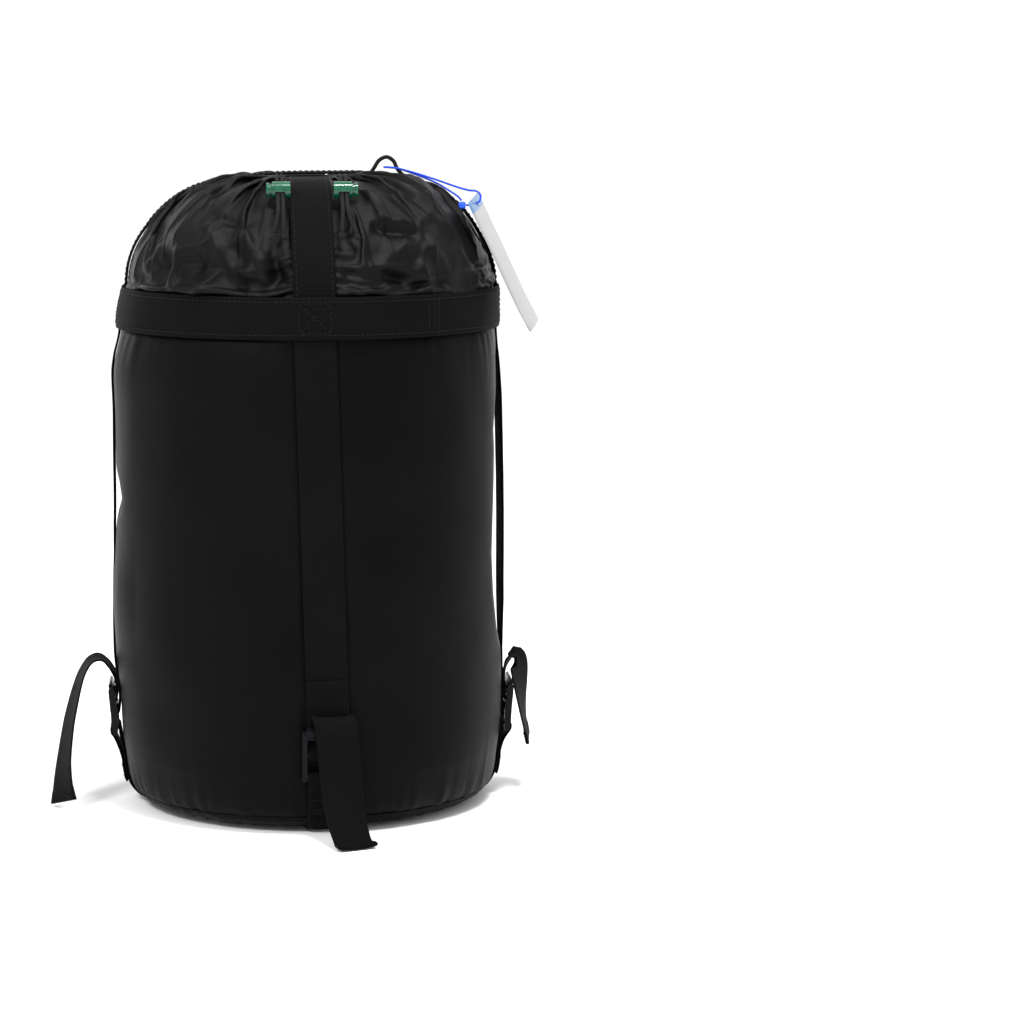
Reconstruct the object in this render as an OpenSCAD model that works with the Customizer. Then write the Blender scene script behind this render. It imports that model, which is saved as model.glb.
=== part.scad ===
// Compression sack: a stuffed fabric tube with a webbing lid harness, four
// compression straps in ladder-lock buckles, a drawcord mouth with two cord
// locks, and a hang tag. Millimetres, +Z up, the floor at z = 0, front at -Y.

/* [Sack] */
// Outer radius of the stuffed fabric tube
body_r = 115.5; // [115:0.1:116]
// Thickness that stands in for the doubled nylon of the walls
fabric_t = 1.2; // [1:0.1:1.4]
// Thickness of the lined base panel
base_t = 3; // [3:0.1:3.2]
// Height of the top of the stuffed crown
crown_top = 390; // [389.8:0.1:390.2]

/* [Webbing] */
// Width of all the webbing
web_w = 25; // [23:0.5:25]
// Thickness of all the webbing
web_t = 1.4; // [1.2:0.1:1.4]
// Height of the lower edge of the webbing band round the lid
band_z = 299; // [290:1:305]

/* [Ladder locks] */
// Height of the anchor bar at the front, right, back and left
bar_z = [37, 44, 40, 46];
// How far each ladder lock stands off the wall: front, right, back and left
bar_off = [0, 4, 0, 4];
// Degrees each ladder lock is turned round the sack from its upper strap
lock_turn = [3, 0, 3, 0];
// Radius of the three bars
bar_r = 1.7; // [1.4:0.1:1.7]

/* [Mouth] */
// Radius of the drawcord
cord_r = 1.2; // [1:0.1:1.2]
// Outer radius of the cord locks' barrels
barrel_r = 5; // [4.9:0.1:5]

/* [Hang tag] */
// Width and length of the card
tag_size = [45, 88];

/* [Hidden] */

$fn = 48;
gap = 0.3;                       // clearance between pieces that only touch
black = [0.10, 0.10, 0.105];
web_black = [0.07, 0.07, 0.075];
FRONT = 0;
RIGHT = 1;
BACK = 2;
LEFT = 3;

// The foot: the flat base, then an elliptical corner up to the wall.
base_z = web_t + gap;            // underside of the base panel
foot_x = 86;                     // radius at which the corner starts
foot_z = 32;                     // height at which the corner meets the wall
seam_a = -36.5;                  // angle of the base seam on the corner
seam_gap_a = 0.6;                // the same gap, as an angle on the corner
corner_steps = 12;

// The crown: a quarter circle from the wall to the flat top.
crown_x = 50;
crown_z = 324.5;
crown_r = crown_top - crown_z;
crown_steps = 14;
neck_r = 23;                     // inner edge of the crown, round the mouth
hem_in_r = 10;
hem_low = 380;
hem_high = crown_top - 0.1;
channel_r = 16.5;                // radius of the drawcord's channel
channel_z = 385;
cross_lift = web_t + gap + 0.8;  // the upper strap clears the lower one and the cords

// Webbing layers, measured out from the wall.
strap_in = gap;                  // inner face of the straps
strap_mid = gap + web_t / 2;
band_r = sqrt(pow(body_r + gap + web_t, 2) + pow(web_w / 2, 2)) + 0.25;

// Ladder lock: heights above the anchor bar, and distances out from the
// straps' inner face.
bar_n = 3.6;                     // anchor bar and middle bar
mid_h = 13;
lip_n = 5;
lip_h = 24;
wrap_r = bar_r + gap + web_t / 2;
wrap_top = 28;
rail_in = web_w / 2 + 0.9;
rail_w = 3;

// ---------------------------------------------------------------- functions

// Points on an ellipse's arc round c.
function arc(c, rx, rz, a0, a1, n) =
    [for (i = [0:n]) let (a = a0 + (a1 - a0) * i / n) [c[0] + rx * cos(a), c[1] + rz * sin(a)]];

function flip(p) = [for (i = [len(p) - 1:-1:0]) p[i]];

function mirror_x(p) = [for (q = p) [-q[0], q[1]]];

function unit(v) = v / norm(v);

// The foot's corner and the crown's shoulder, d outside the fabric.
function foot(d, a0, a1) =
    arc([foot_x, foot_z], body_r - foot_x + d, foot_z - base_z + d, a0, a1, corner_steps);
function shoulder(d, lift = 0) =
    arc([crown_x, crown_z], body_r - crown_x + d, crown_r + d + lift, 0, 90, crown_steps);

// A smooth curve through points: Catmull-Rom, n steps to a span.
function curve_point(a, b, c, d, t) =
    0.5 * (2 * b + (c - a) * t + (2 * a - 5 * b + 4 * c - d) * t * t
    + (3 * b - 3 * c + d - a) * t * t * t);
function smooth(p, n) = let (m = len(p) - 1) concat(
    [for (i = [0:m - 1], k = [0:n - 1])
        curve_point(p[max(i - 1, 0)], p[i], p[i + 1], p[min(i + 2, m)], k / n)],
    [p[m]]);

// The outline of webbing of thickness t that follows a flat path.
function along(p, i) = unit(p[min(i + 1, len(p) - 1)] - p[max(i - 1, 0)]);
function side(p, i, s) = let (d = along(p, i)) p[i] + [-d[1], d[0]] * s;
function ribbon(p, t) = concat(
    [for (i = [0:len(p) - 1]) side(p, i, t / 2)],
    [for (i = [len(p) - 1:-1:0]) side(p, i, -t / 2)]);

// Where the straps' inner face is, out from the axis, at a ladder lock.
function lock_r(s) = body_r + strap_in + bar_off[s];

// ---------------------------------------------------------------- placing

// Draws at the front, turned to the front, right, back or left.
module at_side(s) rotate([0, 0, 90 * s]) children();
module at_lock_side(s) rotate([0, 0, 90 * s + lock_turn[s]]) children();

// Stands a flat drawing of (distance out, height) up as a slab w wide.
module stand(w, shift = 0)
    translate([shift, 0, 0]) rotate([90, 0, -90]) linear_extrude(w, center = true) children();

// A closed tube with round rings along points.
module tube(points, r, sides = 8) {
    n = len(points);
    rings = [for (i = [0:n - 1])
        let (d = along(points, i),
            flat = abs(d[2]) > 0.9 ? [1, 0, 0] : [0, 0, 1],
            u = unit(cross(d, flat)),
            v = cross(d, u))
        [for (k = [0:sides - 1]) points[i] + r * (u * cos(360 * k / sides) + v * sin(360 * k / sides))]];
    walls = [for (i = [0:n - 2], k = [0:sides - 1])
        let (j = (k + 1) % sides) [i * sides + k, (i + 1) * sides + k, (i + 1) * sides + j, i * sides + j]];
    polyhedron(
        [for (ring = rings) each ring],
        concat(walls, [[for (k = [0:sides - 1]) k]],
            [[for (k = [sides - 1:-1:0]) (n - 1) * sides + k]]),
        convexity = 6);
}

// Webbing along points in space. turn is how far the width has turned about
// +Z from the tangent of the wall, in degrees, at each point.
module strap3d(points, turn, w, t) {
    n = len(points);
    rings = [for (i = [0:n - 1])
        let (d = along(points, i),
            a = turn[i],
            flat = [cos(a), sin(a), 0],
            u = unit(flat - d * (flat * d)),
            v = cross(d, u))
        [points[i] - u * w / 2 - v * t / 2, points[i] + u * w / 2 - v * t / 2,
            points[i] + u * w / 2 + v * t / 2, points[i] - u * w / 2 + v * t / 2]];
    walls = [for (i = [0:n - 2], k = [0:3])
        let (j = (k + 1) % 4, a = i * 4 + k, b = (i + 1) * 4 + k, c = (i + 1) * 4 + j, d = i * 4 + j)
        each [[a, b, c], [a, c, d]]];
    polyhedron(
        [for (ring = rings) each ring],
        concat(walls, [[0, 1, 2], [0, 2, 3]],
            [[for (k = [2:-1:0]) (n - 1) * 4 + k]], [[for (k = [3, 2, 0]) (n - 1) * 4 + k]]),
        convexity = 6);
}

// ---------------------------------------------------------------- the sack

module base_panel() color(black) difference() {
    rotate_extrude() polygon(concat(
        [[0, base_z]], foot(0, -90, seam_a), flip(foot(-base_t, -90, seam_a)), [[0, base_z + base_t]]));
    // room for the crossing of the base straps
    translate([-20.5, -web_w / 2 - gap, 0]) cube([41, web_w + 2 * gap, 2 * web_t + 2 * gap]);
}

module base_seam_tape() color(black) rotate_extrude()
    polygon(concat(
        foot(-base_t - gap, seam_a - 5, seam_a + 5),
        flip(foot(-base_t - gap - 1.2, seam_a - 5, seam_a + 5))));

module body_panel() color(black) rotate_extrude() polygon(concat(
    foot(0, seam_a + seam_gap_a, 0), [[body_r, band_z - gap], [body_r - fabric_t, band_z - gap]],
    flip(foot(-fabric_t, seam_a + seam_gap_a, 0))));

module packed_load() color("dimgray") rotate_extrude() polygon(concat(
    [[0, base_z + base_t + 1.8]], foot(-base_t - 1.8, -90, -20),
    [[body_r - fabric_t - 0.6, foot_z]], shoulder(-fabric_t - 0.6),
    [[28, crown_top - fabric_t - 0.6], [24, hem_low - 2], [0, hem_low - 2]]));

// From the foot of the wall, round the anchor bar and back down on itself.
function anchor_loop(s) = let (
        r0 = body_r + strap_mid,
        bar = [lock_r(s) + bar_n, bar_z[s]],
        top = bar_z[s] - 2.2,
        lean = bar_off[s]) concat(
    lean > 0 ? [[r0 + lean * 0.15, foot_z + 2], [r0 + lean * 0.55, (foot_z + 2 + top) / 2]] : [],
    [[r0 + lean, top]],
    arc(bar, wrap_r, wrap_r, 180, 0, 8),
    [[bar[0] + wrap_r * 0.85, bar[1] - 2.4], [bar[0] + 0.5, bar[1] - 5]],
    lean > 0 ? [[r0 + lean * 0.6 + web_t + 0.5, foot_z + 2.5]] : [],
    flip(foot(strap_mid + web_t + 0.2, -28, -5)));

function base_half(s, rise) = concat(
    [[0, web_t / 2 + rise], [15, web_t / 2 + rise], [20, web_t / 2]],
    foot(strap_mid, -90, 0), anchor_loop(s));

module base_strap(a, b, rise) color(web_black)
    at_lock_side(a) stand(web_w) polygon(ribbon(
        concat(flip(mirror_x(base_half(b, rise))), [for (i = [1:len(base_half(a, rise)) - 1])
            base_half(a, rise)[i]]), web_t));

// ---------------------------------------------------------------- the straps

module compression_strap(s) color(web_black) at_side(s)
    if (lock_turn[s] == 0)
        stand(web_w) polygon(ribbon([
            [lock_r(s) + web_t / 2, bar_z[s] + wrap_top + gap],
            [body_r + strap_mid, band_z - gap]], web_t));
    else let (r = lock_r(s) + web_t / 2, a = lock_turn[s])
        strap3d([[r * sin(a), -r * cos(a), bar_z[s] + wrap_top + 0.8],
            [0, -(body_r + strap_mid), band_z - 0.8]], [a, 0], web_w, web_t);

// The strap's way through the ladder lock: behind it, under the middle bar,
// up in front of it, and back out behind the lip.
module strap_wrap(s) color(web_black) {
    mid = [lock_r(s) + bar_n, bar_z[s] + mid_h];
    r = lock_r(s);
    z = bar_z[s];
    path = concat(
        [[r + web_t / 2, z + wrap_top], [r + web_t / 2, z + 21], [r + web_t / 2, z + 16]],
        arc(mid, wrap_r, wrap_r, 180, 390, 12),
        [[r + 4.4, z + 17.2], [r + 3.1, z + 18.6], [r + 2.45, z + 20.4], [r + 2.3, z + 23],
            [r + 2.3, z + wrap_top]]);
    at_lock_side(s) stand(web_w) polygon(ribbon(path, web_t));
}

module ladder_lock(s) color([0.12, 0.12, 0.14]) at_lock_side(s) translate([0, -lock_r(s), bar_z[s]]) {
    for (e = [-1, 1]) stand(rail_w, e * (rail_in + rail_w / 2))
        polygon([[2.2, -2.6], [5.2, -2.6], [5.9, 4], [6.4, 12], [7.4, 22], [7.6, 26], [6.8, 28.2],
            [5.2, 28.2], [3.7, 25.5], [3.2, 19], [1.9, 13], [1.7, 2]]);
    // the anchor bar and the middle bar
    for (b = [[bar_n, 0], [bar_n, mid_h]])
        translate([0, -b[0], b[1]]) rotate([0, 90, 0]) cylinder(r = bar_r, h = 2 * rail_in + 2, center = true);
    // the lip: the top bar with its thumb tab
    translate([0, -lip_n, lip_h]) rotate([0, 90, 0]) cylinder(r = bar_r, h = 2 * rail_in + 2, center = true);
    stand(2 * rail_in + 1) polygon([[3.9, lip_h], [6.4, lip_h], [7.6, 28.6], [6.6, 30.4], [5.4, 29.4]]);
}

// The loose ends. Points are (across, out from the wall, height), and the
// last value is how far the webbing has turned.
TAILS = [
    [[0, 2.3, 65.9, 0], [0, 3.2, 69.5, 0], [1.0, 6.4, 73.0, 0], [2.2, 10.6, 73.2, 0],
        [3.2, 13.8, 69.0, 0], [4.0, 15.2, 60.0, 1], [5.0, 16.0, 46.0, 3], [6.2, 17.6, 31.0, 7],
        [7.8, 22.0, 16.0, 14], [9.8, 29.0, 6.0, 25], [11.6, 35.6, 2.0, 33], [13.3, 41.1, 1.2, 39]],
    [[0, 6.3, 72.9, 0], [0, 7.6, 77.5, 0], [0.3, 10.4, 83.2, -2], [0.6, 14.0, 86.2, -6],
        [1.2, 17.6, 85.0, -10], [1.8, 19.8, 79.0, -16], [2.6, 20.6, 68.0, -26], [3.4, 21.0, 56.0, -36],
        [4.4, 22.0, 44.0, -44], [5.6, 23.6, 32.0, -50]],
    [[0, 2.3, 68.9, 0], [0, 3.2, 72.5, 0], [-0.4, 6.4, 76.0, 0], [-1.2, 10.6, 76.2, 0],
        [-2.0, 13.8, 72.0, -2], [-2.8, 15.4, 62.0, -4], [-4.0, 16.4, 47.0, -6], [-5.6, 18.6, 31.0, -9],
        [-7.4, 23.0, 16.0, -14], [-9.6, 30.0, 6.0, -20], [-11.6, 37.4, 2.0, -25], [-13.4, 44.0, 1.2, -28]],
    [[0, 6.3, 74.9, 0], [0, 7.8, 79.5, 0], [1.0, 11.4, 86.0, 2], [2.6, 16.6, 90.4, 6],
        [4.4, 22.6, 89.2, 10], [6.4, 27.4, 82.6, 15], [8.8, 30.4, 73.0, 22], [12.4, 32.6, 60.0, 31],
        [17.4, 34.6, 44.0, 39], [23.0, 36.4, 27.0, 44], [28.4, 37.8, 12.0, 47], [31.6, 38.4, 1.6, 48]],
];

module strap_tail(s) color(web_black) at_lock_side(s) {
    p = smooth([for (q = TAILS[s]) [q[0], -(body_r + strap_in + q[1]), q[2], q[3]]], 2);
    strap3d([for (q = p) [q[0], q[1], q[2]]], [for (q = p) q[3]], web_w, web_t);
}

// ---------------------------------------------------------------- the lid

module lid_band() color(web_black) rotate_extrude()
    translate([band_r, band_z]) square([web_t, web_w]);

function over_top(d, lift) = concat(
    [[body_r + d, band_z]], shoulder(d, lift), [[0, crown_top + d + lift]]);

module top_strap(s, lift) color(web_black) at_side(s) stand(web_w) polygon(concat(
    over_top(strap_in + web_t, lift), flip(mirror_x(over_top(strap_in + web_t, lift))),
    mirror_x(over_top(strap_in, lift)), flip(over_top(strap_in, lift))));

module crown_fabric() color(black) rotate_extrude() polygon(concat(
    [[body_r, band_z]], shoulder(0), [[neck_r, crown_top], [neck_r, crown_top - fabric_t]],
    flip(shoulder(-fabric_t)), [[body_r - fabric_t, band_z]]));

module neck_hem() color(black) difference() {
    rotate_extrude() polygon([[hem_in_r + 2, hem_low], [neck_r - 2.3, hem_low], [neck_r - gap, hem_low + 2.5],
        [neck_r - gap, hem_high - 2.5], [neck_r - 2.3, hem_high], [hem_in_r + 2, hem_high],
        [hem_in_r, hem_high - 2.5], [hem_in_r, hem_low + 2.5]]);
    rotate_extrude() translate([channel_r, channel_z]) circle(cord_r + 0.5);
    for (e = [-1, 1]) {
        exit_bore([e * 16.2, -5.2, 387.5], [e * 16.2, -13.4, 391.4]);
        exit_bore([e * 19.2, -3.6, 387.6], [e * 19, -11.6, 391.4]);
    }
}

// A bore along a to b, with 2 mm more at its low end and 4 at its high end.
module exit_bore(a, b) {
    d = unit(b - a);
    translate(a - 2 * d) rotate([0, acos(d[2]), atan2(d[1], d[0])])
        cylinder(r = cord_r + 0.4, h = norm(b - a) + 6);
}

module drawcord_hem_run() color(web_black)
    rotate_extrude() translate([channel_r, channel_z]) circle(cord_r);

// ---------------------------------------------------------------- the cords

// The drawcord's two ends on the right: up out of the channel, over the
// crown, through the cord lock and on to a knot. The left pair is the same,
// mirrored, with ends of its own.
cord_apart = 2.8;
CORD_IN = [[16.2, -5.2, 387.5], [16.2, -9.3, 389.5], [16.2, -13.4, 391.2], [16.2, -20, 391.6],
    [16.3, -30, 391.6], [16.5, -40, 391.7], [16.9, -50, 392.2], [17.3, -59, 393.2], [17.5, -66, 393.6],
    [17.6, -72.4, 393.0], [17.6, -84, 385.8], [17.6, -99.2, 376.3]];
CORD_OUT = [[19.2, -3.6, 387.6], [19.1, -7.6, 389.6], [19, -11.6, 391.3],
    for (i = [3:len(CORD_IN) - 1]) CORD_IN[i] + [cord_apart, 0, 0]];
END_RIGHT_IN = [[17.4, -103.4, 372.6], [17, -106.6, 367.4], [16.6, -109, 361.5]];
END_RIGHT_OUT = [[21, -103, 372.4], [22.6, -105.8, 367], [25, -107.4, 361]];
END_LEFT_IN = [[17.6, -103.4, 372.6], [17.5, -106.6, 367.4], [17.4, -109, 361.5]];
END_LEFT_OUT = [[20.8, -103.2, 372.5], [21.8, -106, 367.2], [23.4, -107.8, 361.2]];

// The mouth's pull loop: out from under the upper strap, up in a standing
// loop, and back under the strap.
PULL_LOOP = [[24.4, -4, 391.5], [28.4, -5.2, 391.5], [32.2, -9, 391.5], [35.4, -14.4, 391.6],
    [38.4, -16, 393.4], [41, -16.2, 397], [44, -16, 401.4], [48.6, -15.8, 403.4], [52.8, -15.8, 401],
    [55, -16, 396.4], [58, -17.4, 392.8], [60.8, -21.6, 390.6], [59.4, -27, 390.2], [53, -30, 390.8],
    [44, -29, 391.5], [35, -24.6, 391.5], [29, -17.8, 391.5], [25.6, -11, 391.5], [24.9, -8, 391.5]];

// The tag's string: from the seal, through the card's hole, over its top
// edge, round one leg of the pull loop, and back to the seal.
TAG_STRING = [[96.7, -27.7, 374.1], [99.6, -27.6, 374.2], [102.8, -27.5, 374.9], [105.4, -27.5, 377],
    [105.6, -27.5, 380.4], [103, -27.5, 382.7], [98.4, -27.2, 383.2], [90, -25.2, 385.6],
    [78, -22, 389.8], [66, -19.6, 393.6], [56, -18.5, 396.3], [50.4, -18.4, 397],
    [47, -15.8, 397.2], [50.4, -13.1, 397], [56, -13.1, 396.2], [66, -15.6, 392.8],
    [78, -20.2, 388], [87.4, -24.8, 382.4], [92, -27.4, 379.2], [93.8, -28, 376.9]];
string_r = 0.6;

module cord(points, r, steps) color(web_black) tube(smooth(points, steps), r);

module drawcord_end(in, end, side_sign) {
    p = [for (q = concat(in, end)) [side_sign * q[0], q[1], q[2]]];
    color(web_black) tube(p, cord_r);
}

knot_r = 2.4;
module drawcord_knots() color(web_black) for (k = [END_RIGHT_IN, END_RIGHT_OUT])
    translate(k[2] + unit(k[2] - k[1]) * (knot_r + 0.05)) sphere(knot_r);
module drawcord_knots_left() color(web_black) for (k = [END_LEFT_IN, END_LEFT_OUT])
    let (p = k[2] + unit(k[2] - k[1]) * (knot_r + 0.05)) translate([-p[0], p[1], p[2]]) sphere(knot_r);

// ---------------------------------------------------------------- the cord locks

lock_at = [19, -84, 385.8];      // middle of the cord hole
lock_slope = 31.8;               // how far the cord's way through points down
barrel_from = -6.1;              // the barrel's closed end
barrel_to = 4.8;                 // and its open end
bore_r = 3.8;
cap_t = 1;
button_play = 0.15;
press = 1.5;                     // travel of the button
slot_x = 6;                      // the barrel's cord hole, along its axis
slot_z = 3.6;                    // and across

// Draws a cord lock's piece in its own frame: +X out of the barrel, the cords
// along Y, the middle of the cord hole at the origin.
module at_lock(side_sign) mirror([side_sign < 0 ? 1 : 0, 0, 0])
    translate(lock_at) rotate([lock_slope, 0, 0]) children();

module round_x(r, from, to) translate([from, 0, 0]) rotate([0, 90, 0]) cylinder(r = r, h = to - from);

module cord_slot(from, to) translate([from, -10, -slot_z / 2]) cube([to - from, 20, slot_z]);

module cord_lock_barrel(s) color([0.02, 0.30, 0.16]) at_lock(s) difference() {
    round_x(barrel_r, barrel_from, barrel_to);
    round_x(bore_r, barrel_from + cap_t, barrel_to + 1);
    cord_slot(-slot_x / 2, slot_x / 2);
}

// At rest the spring inside holds the button out, its hole's near end against
// the cords. Pressed in, it lets them run.
module cord_lock_button(s) color([0.02, 0.24, 0.13]) at_lock(s) difference() {
    union() {
        round_x(bore_r - button_play, barrel_from + cap_t + press + 0.1, barrel_to + press + 0.3);
        round_x(bore_r + 0.5, barrel_to + press + 0.2, barrel_to + press + 1.9);
    }
    cord_slot(-slot_x / 2 + 0.1, slot_x / 2 + press);
}

// ---------------------------------------------------------------- the hang tag

tag_lean = 25;                   // the card leans this far from upright
tag_y = -27.5;
tag_t = 0.7;
tag_up = 27.5;                   // how far the card reaches above where it nears the crown
tag_hole_r = 1.9;
tag_hole_down = 4.5;
tag_clear = 3.1;                 // from the crown to the card's inner face
seal_at = [94.2, -28, 374];
seal_size = [4.4, 5.6, 4.6];

module hang_tag_card() color("white")
    translate([crown_x, tag_y, crown_z]) rotate([0, -tag_lean, 0])
        translate([crown_r + tag_clear, 0, tag_up - tag_size[1]]) difference() {
            translate([0, -tag_size[0] / 2, 0]) cube([tag_t, tag_size[0], tag_size[1]]);
            translate([-1, 0, tag_size[1] - tag_hole_down]) rotate([0, 90, 0]) cylinder(r = tag_hole_r, h = 3);
        }

module hang_tag_seal() color([0.05, 0.12, 0.75])
    translate(seal_at) cube(seal_size, center = true);

// ---------------------------------------------------------------- the assembly

base_panel();
base_seam_tape();
body_panel();
packed_load();
base_strap(FRONT, BACK, 0);  // base_strap_front_back
base_strap(RIGHT, LEFT, web_t + 0.1);  // base_strap_left_right
compression_strap(FRONT);  // compression_strap_front
compression_strap(RIGHT);  // compression_strap_right
compression_strap(BACK);  // compression_strap_back
compression_strap(LEFT);  // compression_strap_left
ladder_lock(FRONT);  // ladder_lock_front
ladder_lock(RIGHT);  // ladder_lock_right
ladder_lock(BACK);  // ladder_lock_back
ladder_lock(LEFT);  // ladder_lock_left
strap_wrap(FRONT);  // strap_wrap_front
strap_wrap(RIGHT);  // strap_wrap_right
strap_wrap(BACK);  // strap_wrap_back
strap_wrap(LEFT);  // strap_wrap_left
strap_tail(FRONT);  // strap_tail_front
strap_tail(RIGHT);  // strap_tail_right
strap_tail(BACK);  // strap_tail_back
strap_tail(LEFT);  // strap_tail_left
lid_band();
top_strap(FRONT, 0);  // top_strap_front_back
top_strap(RIGHT, cross_lift);  // top_strap_left_right
crown_fabric();
neck_hem();
drawcord_hem_run();
drawcord_end(CORD_IN, END_RIGHT_IN, 1);  // drawcord_right_inner
drawcord_end(CORD_OUT, END_RIGHT_OUT, 1);  // drawcord_right_outer
drawcord_end(CORD_IN, END_LEFT_IN, -1);  // drawcord_left_inner
drawcord_end(CORD_OUT, END_LEFT_OUT, -1);  // drawcord_left_outer
drawcord_knots();
drawcord_knots_left();  // drawcord_knots
cord(PULL_LOOP, cord_r, 1);  // mouth_pull_loop
cord_lock_barrel(1);  // cord_lock_right_barrel
cord_lock_button(1);  // cord_lock_right_button
cord_lock_barrel(-1);  // cord_lock_left_barrel
cord_lock_button(-1);  // cord_lock_left_button
hang_tag_card();
cord(TAG_STRING, string_r, 1);  // hang_tag_string
hang_tag_seal();
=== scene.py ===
"""A packed compression sack: a round cloth wall and base, a crown drawn in to a corded mouth, webbing straps
in ladder locks, cord locks and a hang tag. Metres, in the CAD's frame: +Z up, -Y the front."""
import bpy, bmesh, math
import numpy as np
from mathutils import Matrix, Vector, kdtree, noise


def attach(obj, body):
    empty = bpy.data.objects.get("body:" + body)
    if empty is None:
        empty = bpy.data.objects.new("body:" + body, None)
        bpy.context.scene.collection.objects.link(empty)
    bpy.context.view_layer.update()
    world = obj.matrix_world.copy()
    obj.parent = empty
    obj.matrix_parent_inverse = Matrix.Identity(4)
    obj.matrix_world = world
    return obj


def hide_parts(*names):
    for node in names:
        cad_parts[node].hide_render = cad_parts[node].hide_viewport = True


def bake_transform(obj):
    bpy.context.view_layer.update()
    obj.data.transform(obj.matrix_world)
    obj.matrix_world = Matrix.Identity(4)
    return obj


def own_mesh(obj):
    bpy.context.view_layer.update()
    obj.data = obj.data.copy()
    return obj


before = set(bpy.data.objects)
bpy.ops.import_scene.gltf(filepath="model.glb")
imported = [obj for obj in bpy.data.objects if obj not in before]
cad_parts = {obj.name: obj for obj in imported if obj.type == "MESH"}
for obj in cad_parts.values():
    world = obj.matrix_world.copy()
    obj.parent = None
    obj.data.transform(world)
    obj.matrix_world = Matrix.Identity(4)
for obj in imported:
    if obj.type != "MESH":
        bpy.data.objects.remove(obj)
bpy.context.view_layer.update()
scene = bpy.context.scene
MM = 0.001

# ---------------------------- camera
cam_data = bpy.data.cameras.new("camera")
cam_data.sensor_width = 36
cam_data.lens = 112.8
camera = bpy.data.objects.new("camera", cam_data)
scene.collection.objects.link(camera)
camera.location = (-0.0700, -2.0038, 0.455)
camera.rotation_euler = Vector((0.09737, 0.98595, -0.13572)).to_track_quat("-Z", "Y").to_euler()
scene.camera = camera

# ---------------------------- numbers shared with the CAD, in metres
BODY_R = 0.1155
CROWN_X, CROWN_Z, CROWN_TOP = 0.050, 0.3245, 0.390
CROWN_R = CROWN_TOP - CROWN_Z
FOOT_X, FOOT_Z, BASE_Z = 0.086, 0.032, 0.0017
BAND_Z, WEB_W, WEB_T = 0.299, 0.025, 0.0014
BAND_R = 0.11811
GAP = 0.0003              # air between cloth and webbing
CLOTH_T = 0.0005
SIDE_A = [3, 90, 183, 270]
TOP_A = [0, 90, 180, 270]
SIDES = ["front", "right", "back", "left"]
BAR_Z = [0.037, 0.044, 0.040, 0.046]          # the locks' anchor bars: height,
BAR_OFF = [0, 0.004, 0, 0.004]                # how far each lock stands off the wall,
BAR_N = 0.0036                                # and how far out its bars are from its inner face
START = 0.0283            # a side strap starts this far above its anchor bar
LOCK_R = [BODY_R + GAP + o for o in BAR_OFF]
FOOT_BEND = 0.62          # below 1 the corner between wall and base is squarer than a circle
SEAM_A = -36.8            # where the base seam is on that corner
# (height, inner radius) of each side strap, in mm: the stuffing pushes the straps out
FRONT_BACK_IN = [(0, 115.5), (32, 115.7), (130, 115.9), (200, 117.0), (260, 117.4), (284, 116.9),
                 (292, 116.2), (299, 115.8), (310, 115.7)]
STRAP_IN = [
    FRONT_BACK_IN,
    [(0, 115.5), (20, 116.3), (32, 117.0), (46, 119.0), (60, 119.8), (72, 119.8), (110, 119.4), (200, 119.4),
     (250, 118.5), (280, 117.2), (290, 116.3), (299, 115.8), (310, 115.7)],
    FRONT_BACK_IN,
    [(0, 115.5), (20, 116.3), (32, 117.0), (46, 119.0), (60, 119.8), (72, 119.8), (84, 121.4), (95, 122.4),
     (115, 122.6), (130, 122.3), (160, 121.4), (200, 120.8), (250, 120.6), (272, 121.2), (284, 119.6),
     (292, 117.0), (299, 115.9), (310, 115.7)],
]


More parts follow.
